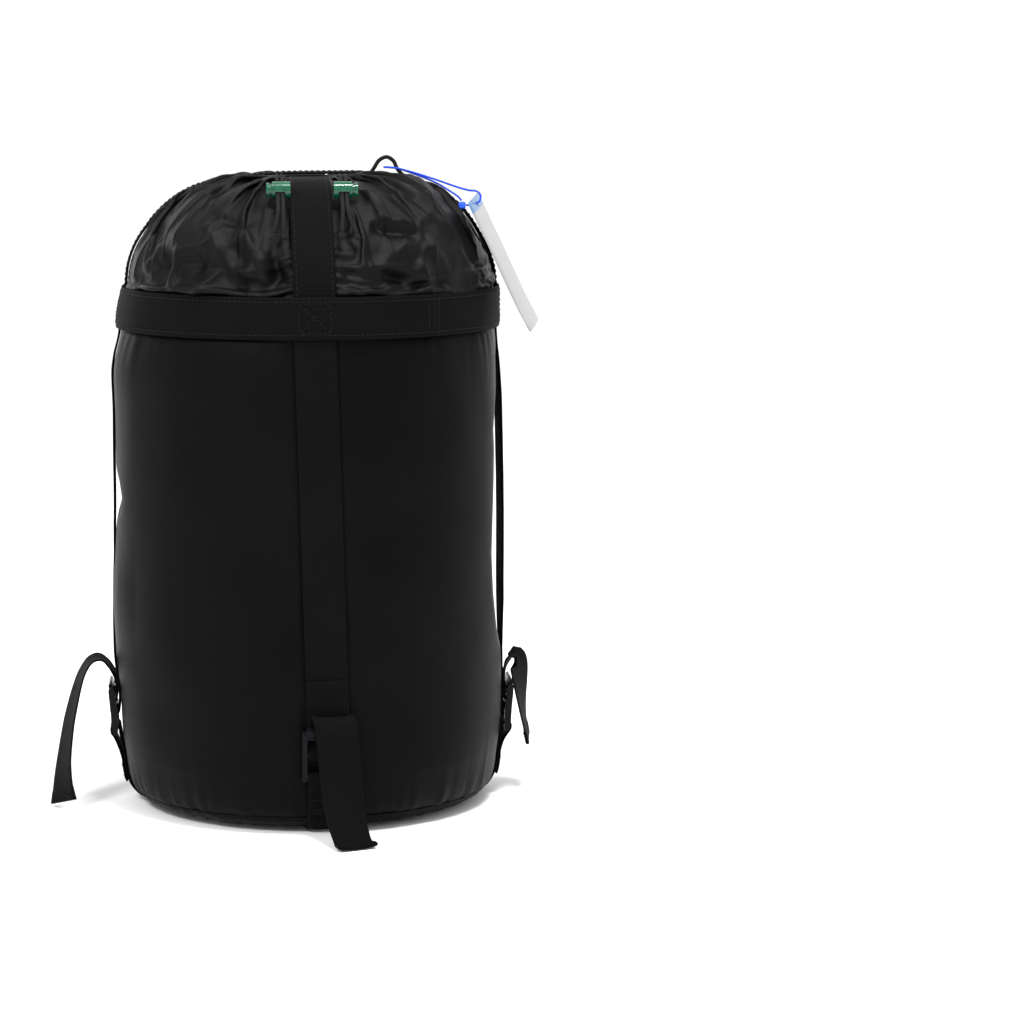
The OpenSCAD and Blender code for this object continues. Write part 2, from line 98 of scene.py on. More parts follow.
# ---------------------------- node helpers
class Mat:
    """A material and short ways to add nodes to it."""

    def __init__(self, name):
        self.m = bpy.data.materials.new(name)
        self.m.use_nodes = True
        self.t = self.m.node_tree
        self.bsdf = self.t.nodes["Principled BSDF"]

    def set(self, **kw):
        for k, v in kw.items():
            self.bsdf.inputs[k.replace("_", " ")].default_value = v
        return self

    def node(self, kind, **kw):
        n = self.t.nodes.new(kind)
        for k, v in kw.items():
            setattr(n, k, v)
        return n

    def link(self, a, b):
        self.t.links.new(a, b)

    def put(self, socket, v):
        if isinstance(v, bpy.types.NodeSocket):
            self.link(v, socket)
        else:
            socket.default_value = v

    def math(self, op, a, b=0.0):
        n = self.node("ShaderNodeMath", operation=op)
        for s, v in zip(n.inputs, (a, b)):
            self.put(s, v)
        return n.outputs[0]

    def sine(self, v, pitch):
        return self.math("SINE", self.math("MULTIPLY", v, 2 * math.pi / pitch))

    def uv(self):
        n = self.node("ShaderNodeUVMap", uv_map="UVMap")
        s = self.node("ShaderNodeSeparateXYZ")
        self.link(n.outputs[0], s.inputs[0])
        return n.outputs[0], s.outputs[0], s.outputs[1]

    def noise(self, vector, scale, detail=3.0, rough=0.55, kind="FBM", distortion=0.0):
        n = self.node("ShaderNodeTexNoise", noise_type=kind)
        self.put(n.inputs["Vector"], vector)
        n.inputs["Scale"].default_value = scale
        n.inputs["Detail"].default_value = detail
        n.inputs["Roughness"].default_value = rough
        n.inputs["Distortion"].default_value = distortion
        return n.outputs[0]

    def coord(self):
        return self.node("ShaderNodeTexCoord").outputs["Object"]

    def ramp(self, fac, a, b, lo=0.0, hi=1.0):
        n = self.node("ShaderNodeMapRange")
        self.put(n.inputs[0], fac)
        n.inputs[1].default_value, n.inputs[2].default_value = lo, hi
        n.inputs[3].default_value, n.inputs[4].default_value = a, b
        return n.outputs[0]

    def mix(self, fac, a, b):
        n = self.node("ShaderNodeMix", data_type="RGBA")
        self.put(n.inputs[0], fac)
        for s, v in ((n.inputs[6], a), (n.inputs[7], b)):
            self.put(s, v if isinstance(v, bpy.types.NodeSocket) else (*v, 1))
        return n.outputs[2]

    def bump(self, height, distance, strength=1.0, normal=None):
        n = self.node("ShaderNodeBump")
        n.inputs["Distance"].default_value = distance
        n.inputs["Strength"].default_value = strength
        self.put(n.inputs["Height"], height)
        if normal is not None:
            self.link(normal, n.inputs["Normal"])
        return n.outputs[0]

    def tone(self, fac, base, tint, lo=0.3, hi=0.7):
        """A colour that goes from base to tint as fac goes from lo to hi."""
        return self.mix(self.ramp(fac, 0, 1, lo, hi), base, tint)

    def color(self, v):
        self.put(self.bsdf.inputs["Base Color"], v)

    def rough(self, v):
        self.put(self.bsdf.inputs["Roughness"], v)

    def normal(self, v):
        self.link(v, self.bsdf.inputs["Normal"])


def nylon_material(name, base, tint, crinkle=1.0, gloss=0.035, sheen=0.003):
    m = Mat(name)
    m.set(Specular_IOR_Level=gloss, Sheen_Weight=sheen, Sheen_Roughness=0.4)
    m.bsdf.inputs["Sheen Tint"].default_value = (0.80, 0.82, 0.86, 1)
    uv, u, v = m.uv()
    obj = m.coord()
    # plain weave, a thread every 0.4 mm
    weave = m.math("MULTIPLY", m.sine(u, 0.0008), m.sine(v, 0.0008))
    slub = m.noise(uv, 900, 2, 0.6)
    crease = m.noise(obj, 30, 4, 0.55, "RIDGED_MULTIFRACTAL", 0.2)
    soft = m.noise(obj, 20, 3, 0.45)
    n1 = m.bump(soft, 0.0012 * crinkle, 0.5)
    n2 = m.bump(crease, 0.0003 * crinkle, 0.5, n1)
    n3 = m.bump(weave, 0.00006, 0.6, n2)
    m.normal(n3)
    m.color(m.tone(soft, base, tint))
    m.rough(m.math("ADD", m.ramp(slub, 0.36, 0.46, 0.3, 0.7), m.ramp(weave, 0.0, 0.04, -1, 1)))
    return m.m


def webbing_material(name, base, tint):
    m = Mat(name)
    m.set(Specular_IOR_Level=0.025, Sheen_Weight=0.005, Sheen_Roughness=0.5)
    uv, u, v = m.uv()
    # warp ribs 1.05 mm apart with chevron picks every 1.5 mm
    k = m.math("MULTIPLY", u, 1 / 0.0021)
    tri = m.math("ABSOLUTE", m.math("SUBTRACT", m.math("FRACT", k), 0.5))
    rib = m.math("ABSOLUTE", m.sine(u, 0.0021))
    chev = m.sine(m.math("ADD", v, m.math("MULTIPLY", tri, 0.0016)), 0.0015)
    h = m.math("ADD", m.math("MULTIPLY", rib, 0.6), m.math("MULTIPLY", chev, 0.4))
    fuzz = m.noise(uv, 1600, 3, 0.7)
    wear = m.noise(m.coord(), 22, 4, 0.6)
    n1 = m.bump(h, 0.00022, 0.9)
    n2 = m.bump(fuzz, 0.0001, 0.5, n1)
    m.normal(n2)
    # its colour is darker in the grooves between the ribs and picks, painted shade, and patchy with wear
    light = m.math("MULTIPLY", m.ramp(h, 0.25, 1.0, -0.4, 1.0), m.ramp(wear, 0.5, 1.0, 0.3, 0.7))
    m.color(m.mix(light, base, tint))
    m.rough(m.ramp(fuzz, 0.55, 0.72, 0.3, 0.7))
    return m.m


def cord_material(name, base, tint, pitch, gloss=0.6):
    m = Mat(name)
    m.set(Specular_IOR_Level=0.09, Sheen_Weight=0.015)
    uv, u, v = m.uv()
    h = m.math("MAXIMUM", m.sine(m.math("ADD", u, v), pitch), m.sine(m.math("SUBTRACT", u, v), pitch))
    m.normal(m.bump(h, pitch * 0.18, 0.9))
    # its colour is darker in the grooves between the braid's strands: painted shade
    m.color(m.mix(m.ramp(h, 0.1, 1.0, -0.2, 1.0), base, tint))
    m.rough(gloss)
    return m.m


def plastic_material(name, base, tint, rough=0.28):
    m = Mat(name)
    m.set(Specular_IOR_Level=0.07, Coat_Weight=0.01, Coat_Roughness=0.15)
    obj = m.coord()
    fine = m.noise(obj, 1500, 3, 0.6)
    smear = m.noise(obj, 120, 4, 0.6)
    m.normal(m.bump(fine, 0.00003, 0.5))
    m.color(m.tone(smear, base, tint, 0.35, 0.65))
    m.rough(m.ramp(smear, rough - 0.06, rough + 0.12, 0.35, 0.65))
    return m.m


def clear_material(name, base, tint):
    m = Mat(name)
    m.set(Specular_IOR_Level=0.35, Transmission_Weight=0.30, IOR=1.49, Coat_Weight=0.10, Coat_Roughness=0.05)
    smear = m.noise(m.coord(), 300, 3, 0.6)
    m.normal(m.bump(smear, 0.00004, 0.4))
    m.color(m.tone(smear, base, tint))
    m.rough(m.ramp(smear, 0.08, 0.2, 0.3, 0.7))
    return m.m


def card_material(name):
    m = Mat(name)
    m.set(Specular_IOR_Level=0.03)
    uv, u, v = m.uv()
    paper = m.noise(uv, 700, 3, 0.6)
    top = m.math("GREATER_THAN", v, 0.0805)          # the coloured edge that the string goes through
    card = m.tone(paper, (0.22, 0.22, 0.225), (0.25, 0.25, 0.255))
    m.color(m.mix(top, card, (0.08, 0.15, 0.28)))
    m.rough(m.ramp(paper, 0.28, 0.4, 0.3, 0.7))
    m.normal(m.bump(paper, 0.00003, 0.4))
    return m.m


# the wall's and seam roll's nylon: the crown's cloth, coloured darker than the crown as painted shade, and
# less glossy
NYLON_SHADED = nylon_material("nylon", (0.0012, 0.0012, 0.0014), (0.0019, 0.0019, 0.0021))
NYLON_CROWN = nylon_material("nylon_crown", (0.0014, 0.0014, 0.0016), (0.0022, 0.0022, 0.0024), gloss=0.075,
                             sheen=0.005)
NYLON_BASE = nylon_material("nylon_base", (0.0015, 0.0015, 0.0018), (0.0024, 0.0024, 0.0028), 0.7)
WEBBING = webbing_material("webbing", (0.0012, 0.0012, 0.0014), (0.0034, 0.0034, 0.0036))
THREAD = cord_material("thread", (0.0018, 0.0018, 0.0021), (0.0052, 0.0052, 0.0056), 0.0006, 0.5)
CORD = cord_material("cord_braid", (0.002, 0.002, 0.0022), (0.009, 0.009, 0.0095), 0.0013)
STRING = cord_material("tag_string", (0.008, 0.022, 0.36), (0.02, 0.08, 0.75), 0.0007, 0.3)
BUCKLE = plastic_material("buckle_plastic", (0.0012, 0.0013, 0.0024), (0.0022, 0.0024, 0.0040), 0.22)
GREEN = clear_material("lock_green", (0.0015, 0.048, 0.023), (0.0035, 0.105, 0.048))
SEAL = plastic_material("tag_seal", (0.02, 0.07, 0.60), (0.03, 0.10, 0.75), 0.2)
CARD = card_material("tag_card")
LOAD = nylon_material("packed_load", (0.0018, 0.0018, 0.0020), (0.0028, 0.0028, 0.0031), 1.3)


# ---------------------------- mesh helpers
def wave(x, y, z):
    """Smooth noise at a point, from about -1 to 1."""
    return noise.noise(Vector((x, y, z)))


def clamp(v):
    """v kept from 0 to 1."""
    return min(max(v, 0), 1)


def power(q, e):
    """q to the power e, with its sign kept."""
    return math.copysign(abs(q) ** e, q)


def travel(p):
    """How far along the points each point is."""
    return np.concatenate([[0], np.cumsum(np.linalg.norm(np.diff(p, axis=0), axis=1))])


def uv_grid(u, v):
    """UV for a grid, u changing along its rows and v from row to row."""
    return np.stack(np.meshgrid(u, v), -1)


def around(n):
    """The n columns round the sack: index, angle from the front, and outward direction."""
    for j in range(n):
        t = 2 * math.pi * j / n
        yield j, t, (math.sin(t), -math.cos(t))


def round_u(n, r):
    """The u of a ring of n points, all the way round at a radius r."""
    return np.linspace(0, 2 * math.pi, n + 1) * r


def link(name, data):
    """A new object of the scene."""
    o = bpy.data.objects.new(name, data)
    scene.collection.objects.link(o)
    return o


def build(name, verts, faces, mat, uv=None, smooth=True):
    me = bpy.data.meshes.new(name)
    verts = np.asarray(verts, np.float32)
    faces = np.asarray(faces, np.int32)
    k = faces.shape[1]
    me.vertices.add(len(verts))
    me.vertices.foreach_set("co", verts.ravel())
    me.loops.add(faces.size)
    me.loops.foreach_set("vertex_index", faces.ravel())
    me.polygons.add(len(faces))
    me.polygons.foreach_set("loop_start", np.arange(0, faces.size, k, dtype=np.int32))
    me.polygons.foreach_set("use_smooth", np.full(len(faces), smooth))
    if uv is not None:
        layer = me.uv_layers.new(name="UVMap")
        layer.data.foreach_set("uv", np.asarray(uv, np.float32).ravel())
    me.update(calc_edges=True)
    me.validate()
    me.materials.append(mat)
    return link(name, me)


def grid(name, P, UV, mat):
    """A surface through P[row, column], closed from its last column to its first. UV has one more column."""
    r, c = P.shape[:2]
    i, j = np.meshgrid(np.arange(r - 1), np.arange(c), indexing="ij")
    i, j = i.ravel(), j.ravel()
    j1 = (j + 1) % c
    faces = np.stack([i * c + j, i * c + j1, (i + 1) * c + j1, (i + 1) * c + j], 1)
    uv = np.stack([UV[i, j], UV[i, j + 1], UV[i + 1, j + 1], UV[i + 1, j]], 1)
    return build(name, P.reshape(-1, 3), faces, mat, uv)


def smooth_path(p, step):
    """A Catmull-Rom curve through p, resampled at about step."""
    p = np.asarray(p, float)
    q = np.vstack([2 * p[0] - p[1], p, 2 * p[-1] - p[-2]])
    out = []
    for i in range(1, len(q) - 2):
        a, b, c, d = q[i - 1:i + 3]
        t = np.linspace(0, 1, 12, endpoint=False)[:, None]
        bend = (2 * a - 5 * b + 4 * c - d) * t ** 2 + (3 * b - 3 * c + d - a) * t ** 3
        out.append(0.5 * (2 * b + (c - a) * t + bend))
    out.append(p[-1:])
    out = np.vstack(out)
    s = travel(out[:, :3])
    n = max(2, int(round(s[-1] / step)) + 1)
    return np.stack([np.interp(np.linspace(0, s[-1], n), s, out[:, k]) for k in range(out.shape[1])], 1)


def unit(v):
    return v / np.maximum(np.linalg.norm(v, axis=-1, keepdims=True), 1e-12)


def tangents(p):
    return unit(np.gradient(p, axis=0))


def ribbon(name, pts, across, cup=0.0, seed=0, thick=1.0, s0=0.0):
    """Webbing along pts, its width along the vectors across.

    cup bends it across its width, thick is how many times as thick it is at each point, seed picks its
    waviness, and s0 is where along the whole strap it starts."""
    w, t, cuts = WEB_W, WEB_T, 14
    pts = np.asarray(pts, float)
    n = len(pts)
    d = tangents(pts)
    a = np.broadcast_to(np.asarray(across, float), (n, 3))
    a = unit(a - d * np.sum(a * d, 1, keepdims=True))
    m = np.cross(d, a)
    s = travel(pts)
    x = np.linspace(-0.5, 0.5, cuts + 1)
    x = np.sign(x) * 0.5 * (1 - (1 - np.abs(x) * 2) ** 1.25)
    prof = [(xx * w, t / 2 * (1 - (abs(xx) * 2) ** 16 * 0.35)) for xx in x]
    prof += [(w / 2 + t * 0.12, 0.0)]
    prof += [(-q[0], -q[1]) for q in prof[:cuts + 1]]
    prof += [(-w / 2 - t * 0.12, 0.0)]
    prof = np.array(prof)
    k = len(prof)
    wob = np.array([[wave((ss + s0) * 160, sgn * 7.3 + seed * 3.1, 0.5) for sgn in (-1, 1)] for ss in s])
    lift = np.array([wave((ss + s0) * 45, 2.2 + seed * 1.7, 3.5) for ss in s]) * 0.0002
    P = np.zeros((n, k, 3))
    for j, (px, pz) in enumerate(prof):
        ex = px + (wob[:, 1 if px > 0 else 0] * 0.00012 * (abs(px) / (w / 2)) ** 4) * (1 if px > 0 else -1)
        ez = pz * thick + cup * ((px / (w / 2)) ** 2 - 0.33) + lift
        P[:, j] = pts + a * ex[:, None] + m * ez[:, None]
    o = grid(name, P, uv_grid(travel(np.vstack([prof, prof[:1]])), s + s0), WEBBING)
    return capped(o, flat=True)


def bmesh_from(o):
    bm = bmesh.new()
    bm.from_mesh(o.data)
    return bm


def bmesh_to(bm, o):
    bm.to_mesh(o.data)
    bm.free()
    o.data.update()


def capped(o, where=lambda e: True, flat=False):
    """Closes a piece's open edges, or those that where picks, with flat faces if flat is true."""
    bm = bmesh_from(o)
    edges = [e for e in bm.edges if e.is_boundary and where(e)]
    for f in bmesh.ops.holes_fill(bm, edges=edges, sides=0)["faces"]:
        f.smooth = f.smooth and not flat
    bmesh_to(bm, o)
    return o


def edge_bevel(o, width, segments, degrees):
    b = o.modifiers.new("edges", "BEVEL")
    b.width, b.segments, b.limit_method, b.angle_limit = width, segments, "ANGLE", math.radians(degrees)
    return b


def thicken(o, t=CLOTH_T, offset=-1):
    """Gives a sheet its thickness, inwards unless offset says otherwise."""
    m = o.modifiers.new("thickness", "SOLIDIFY")
    m.thickness, m.offset = t, offset


def tube(name, pts, r, mat, sides=12):
    """A round cord through pts."""
    pts = np.asarray(pts, float)
    n = len(pts)
    d = tangents(pts)
    ref = np.array([0, 0, 1.0]) if abs(d[0][2]) < 0.9 else np.array([1.0, 0, 0])
    u = np.zeros_like(pts)
    u[0] = unit(np.cross(d[0], ref))
    for i in range(1, n):
        v = u[i - 1] - d[i] * np.dot(u[i - 1], d[i])
        u[i] = unit(v)
    w = np.cross(d, u)
    s = travel(pts)
    ang = np.linspace(0, 2 * math.pi, sides, endpoint=False)
    P = pts[:, None] + r * (np.cos(ang)[None, :, None] * u[:, None] + np.sin(ang)[None, :, None] * w[:, None])
    return capped(grid(name, P, uv_grid(round_u(sides, r), s), mat))


def join(name, objs):
    me = bpy.data.meshes.new(name)
    bm = bmesh.new()
    for o in objs:
        bm.from_mesh(o.data)
    bm.to_mesh(me)
    bm.free()
    for m in objs[0].data.materials:
        me.materials.append(m)
    for o in objs:
        d = o.data
        bpy.data.objects.remove(o)
        bpy.data.meshes.remove(d)
    return link(name, me)


def at(where, s, p):
    """The point of p at a distance along it. s is each point's own."""
    return np.array([np.interp(where, s, p[:, q]) for q in range(3)])


def stitches(name, runs, pitch=0.0032, length=0.0024, r=0.00032, lift=0.00012):
    """Thread along runs of (points, outward normals): short rounded stitches half sunk in the cloth."""
    verts, faces, uvs = [], [], []
    sides, rings = 6, 5
    for pts, nrm in runs:
        pts, nrm = np.asarray(pts, float), np.asarray(nrm, float)
        s = travel(pts)
        count = int(s[-1] / pitch)
        for i in range(count):
            c = (i + 0.5) * pitch + (s[-1] - count * pitch) / 2
            base = len(verts)
            for k in range(rings):
                x = k / (rings - 1) - 0.5
                ss = np.clip(c + x * length, 0, s[-1])
                p = at(ss, s, pts)
                n = unit(at(ss, s, nrm))
                e = at(min(ss + 1e-4, s[-1]), s, pts) - at(max(ss - 1e-4, 0), s, pts)
                side = unit(np.cross(unit(e), n))
                arch = lift + r * 0.7 * (1 - (2 * x) ** 2) - r * 0.6
                rad = r * (1 - 0.55 * abs(2 * x) ** 3)
                for q in range(sides):
                    a = 2 * math.pi * q / sides
                    verts.append(p + n * (arch + rad * math.sin(a)) + side * rad * math.cos(a))
            for k in range(rings - 1):
                for q in range(sides):
                    corners = ((k, q), (k, q + 1), (k + 1, q + 1), (k + 1, q))
                    faces.append([base + i * sides + j % sides for i, j in corners])
                    uvs.append([(j * r, i * length / (rings - 1)) for i, j in corners])
    return build(name, verts, faces, THREAD, np.array(uvs))


def place(angle, q):
    """Points (across, out from the axis, height) turned to a side of the sack. angle 0 is the front."""
    q = np.atleast_2d(np.asarray(q, float))
    a = math.radians(angle)
    c, s = math.cos(a), math.sin(a)
    x, y = q[:, 0], -q[:, 1]
    return np.stack([x * c - y * s, x * s + y * c, q[:, 2]], 1)


def across_of(angle):
    """The direction across a side of the sack."""
    a = math.radians(angle)
    return np.array([math.cos(a), math.sin(a), 0.0])


def out_of(angle):
    """The direction out from a side of the sack."""
    a = math.radians(angle)
    return np.array([math.sin(a), -math.cos(a), 0.0])


def arc2(c, r, a0, a1, n):
    """Points on a circle round c, from angle a0 to a1 in degrees."""
    a = np.radians(np.linspace(a0, a1, n + 1))
    return [(c[0] + r * math.cos(q), c[1] + r * math.sin(q)) for q in a]


def shoulder(d):
    """The crown's rounded shoulder, from its foot to its top, at a distance d outside the cloth."""
    a = np.radians(np.linspace(0, 90, 25))
    rx, rz = BODY_R - CROWN_X + d, CROWN_R + d
    return [(CROWN_X + rx * math.cos(q), CROWN_Z + rz * math.sin(q)) for q in a]


def foot(d, a0, a1, n=16):
    """The corner between wall and base, from angle a0 to a1, at a distance d outside the cloth."""
    out = []
    for q in np.radians(np.linspace(a0, a1, n + 1)):
        c, s_ = max(math.cos(q), 0.0) ** FOOT_BEND, -abs(math.sin(q)) ** FOOT_BEND
        out.append((FOOT_X + (BODY_R - FOOT_X + d) * c, FOOT_Z + (FOOT_Z - BASE_Z + d) * s_))
    return out


def stand(path, angle, step):
    """A smooth path of (out, height) stood up at a side."""
    p = smooth_path(path, step)
    return place(angle, np.stack([np.zeros(len(p)), p[:, 0], p[:, 1]], 1))


def profile(prof, distances):
    """A profile's length, and its points and outward directions at the distances asked for.

    prof is a list of (radius, height)."""
    prof = np.asarray(prof)
    s = travel(prof)
    ss = distances(s[-1])
    R, Z = np.interp(ss, s, prof[:, 0]), np.interp(ss, s, prof[:, 1])
    dR, dZ = np.gradient(R), np.gradient(Z)
    L = np.hypot(dR, dZ)
    return s[-1], ss, R, Z, dZ / L, -dR / L


def fbm(x, y, z, oct=3):
    """Smooth noise with finer noise on it."""
    v, a = 0.0, 1.0
    for k in range(oct):
        v += a * noise.noise(Vector((x, y, z)) * (2 ** k))
        a *= 0.5
    return v


def use(o, body, slot_name, *nodes):
    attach(o, body)
    if nodes:
        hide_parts(*nodes)
    return o


# ---------------------------- the cords, first
CORD_R = 0.0012
CORD_IN = [(16.2, -5.2, 387.5), (16.2, -9.3, 389.5), (16.2, -13.4, 391.2), (16.2, -20, 391.6),
           (16.3, -30, 391.6), (16.5, -40, 391.7), (16.9, -50, 392.2), (17.3, -59, 393.2),
           (17.5, -66, 393.6), (17.6, -72.4, 393.0), (17.6, -84, 385.8), (17.6, -99.2, 376.3)]
CORD_OUT = [(19.2, -3.6, 387.6), (19.1, -7.6, 389.6), (19, -11.6, 391.3)]
CORD_OUT += [(x + 2.8, y, z) for x, y, z in CORD_IN[3:]]
END_RIGHT_IN = [(17.4, -103.4, 372.6), (17, -106.6, 367.4), (16.6, -109, 361.5)]
END_RIGHT_OUT = [(21, -103, 372.4), (22.6, -105.8, 367), (25, -107.4, 361)]
END_LEFT_IN = [(17.6, -103.4, 372.6), (17.5, -106.6, 367.4), (17.4, -109, 361.5)]
END_LEFT_OUT = [(20.8, -103.2, 372.5), (21.8, -106, 367.2), (23.4, -107.8, 361.2)]
PULL_LOOP = [(24.4, -4, 391.5), (28.4, -5.2, 391.5), (32.2, -9, 391.5), (35.4, -14.4, 391.6),
             (38.4, -16, 393.4), (41, -16.2, 397), (44, -16, 401.4), (48.6, -15.8, 403.4),
             (52.8, -15.8, 401), (55, -16, 396.4), (58, -17.4, 392.8), (60.8, -21.6, 390.6),
             (59.4, -27, 390.2), (53, -30, 390.8), (44, -29, 391.5), (35, -24.6, 391.5),
             (29, -17.8, 391.5), (25.6, -11, 391.5), (24.9, -8, 391.5)]
TAG_STRING = [(96.7, -27.7, 374.1), (99.6, -27.6, 374.2), (102.8, -27.5, 374.9), (105.4, -27.5, 377),
              (105.6, -27.5, 380.4), (103, -27.5, 382.7), (98.4, -27.2, 383.2), (90, -25.2, 385.6),
              (78, -22, 389.8), (66, -19.6, 393.6), (56, -18.5, 396.3), (50.4, -18.4, 397),
              (47, -15.8, 397.2), (50.4, -13.1, 397), (56, -13.1, 396.2), (66, -15.6, 392.8),
              (78, -20.2, 388), (87.4, -24.8, 382.4), (92, -27.4, 379.2), (93.8, -28, 376.9)]


def knot(name, middle, direction, size=0.0024, r=0.00105):
    """An overhand knot pulled tight: a trefoil of cord."""
    t = np.linspace(0, 2 * math.pi, 46, endpoint=False)
    x = np.sin(t) + 2 * np.sin(2 * t)
    y = np.cos(t) - 2 * np.cos(2 * t)
    z = -np.sin(3 * t) * 1.15
    p = np.stack([x, y, z], 1) * (size - r * 0.9) / 3.0
    d = unit(np.asarray(direction, float))
    a = unit(np.cross(d, [0.3, 0.2, 1.0]))
    b = np.cross(d, a)
    p = p[:, :1] * a + p[:, 1:2] * d * 1.15 + p[:, 2:] * b + middle
    p = np.vstack([p, p[:1]])
    return tube(name, p, r, CORD, sides=8)


cord_ends = []
knots = []
for side, ends in ((1, [("right_inner", CORD_IN, END_RIGHT_IN), ("right_outer", CORD_OUT, END_RIGHT_OUT)]),
                   (-1, [("left_inner", CORD_IN, END_LEFT_IN), ("left_outer", CORD_OUT, END_LEFT_OUT)])):
    for name, top, end in ends:
        route = np.array([(side * x, y, z) for x, y, z in top + end]) * MM
        p = smooth_path(route, 0.0012)
        o = tube("drawcord_" + name + "_cord", p, CORD_R, CORD)
        use(o, "lid", "drawcord", "drawcord_" + name)
        d = route[-1] - route[-2]
        knots.append(knot("knot_" + name, route[-1] + unit(d) * 0.0022, d))
        cord_ends.append((o, route, p))
knots_obj = use(join("drawcord_end_knots", knots), "lid", "drawcord", "drawcord_knots")
lock_nodes = {e: ["cord_lock_" + e + part for part in ("_barrel", "_button")] for e in ("right", "left")}
for i, (o, route, p) in enumerate(cord_ends):
    path = [tuple(q) for q in p[::2]] + ([tuple(p[-1])] if (len(p) - 1) % 2 else [])
p = smooth_path(np.array(PULL_LOOP) * MM, 0.0012)
loop = use(tube("mouth_pull_loop_cord", p, CORD_R, CORD), "lid", "drawcord", "mouth_pull_loop")
STRING_R = 0.0006
string_path = smooth_path(np.array(TAG_STRING) * MM, 0.0009)
string = use(tube("hang_tag_string_cord", string_path, STRING_R, STRING, sides=8), "lid", "tag_string",
             "hang_tag_string")


# ---------------------------- the wall of the sack
def strap_at(k, z):
    """The inner radius and the angle of a side strap at heights z."""
    t = np.array(STRAP_IN[k]) * MM
    zz = np.arange(-0.020, 0.3261, 0.001)
    rr = np.interp(zz, t[:, 0], t[:, 1])
    soft = np.hanning(17)
    rr[8:-8] = np.convolve(rr, soft / soft.sum(), "valid")
    z0 = BAR_Z[k] + START
    turn = (TOP_A[k] - SIDE_A[k] + 180) % 360 - 180
    angle = SIDE_A[k] + turn * np.clip((z - z0) / (BAND_Z - GAP - z0), 0, 1)
    return np.interp(z, zz, rr), np.radians(angle)


# how far out the cloth reaches at the right, where it has sunk away from its strap, and at the left:
# (height, x) in mm
RIGHT_DENT = [(60, 126), (90, 120), (98, 118.4), (110, 115.0), (135, 112.0), (160, 110.8), (205, 112.6),
              (224, 113.0), (237, 112.4), (249, 113.6), (262, 114.8), (281, 115.0), (292, 117)]
LEFT_DENT = [(170, 126), (180, 120.5), (187, 118.0), (196, 116.6), (206, 118.4), (213, 121.0), (226, 126)]


def soft_min(a, b, k):
    """The smaller of a and b, with the corner between them rounded over k."""
    h = np.clip(0.5 + 0.5 * (b - a) / k, 0, 1)
    return b + (a - b) * h - k * h * (1 - h)


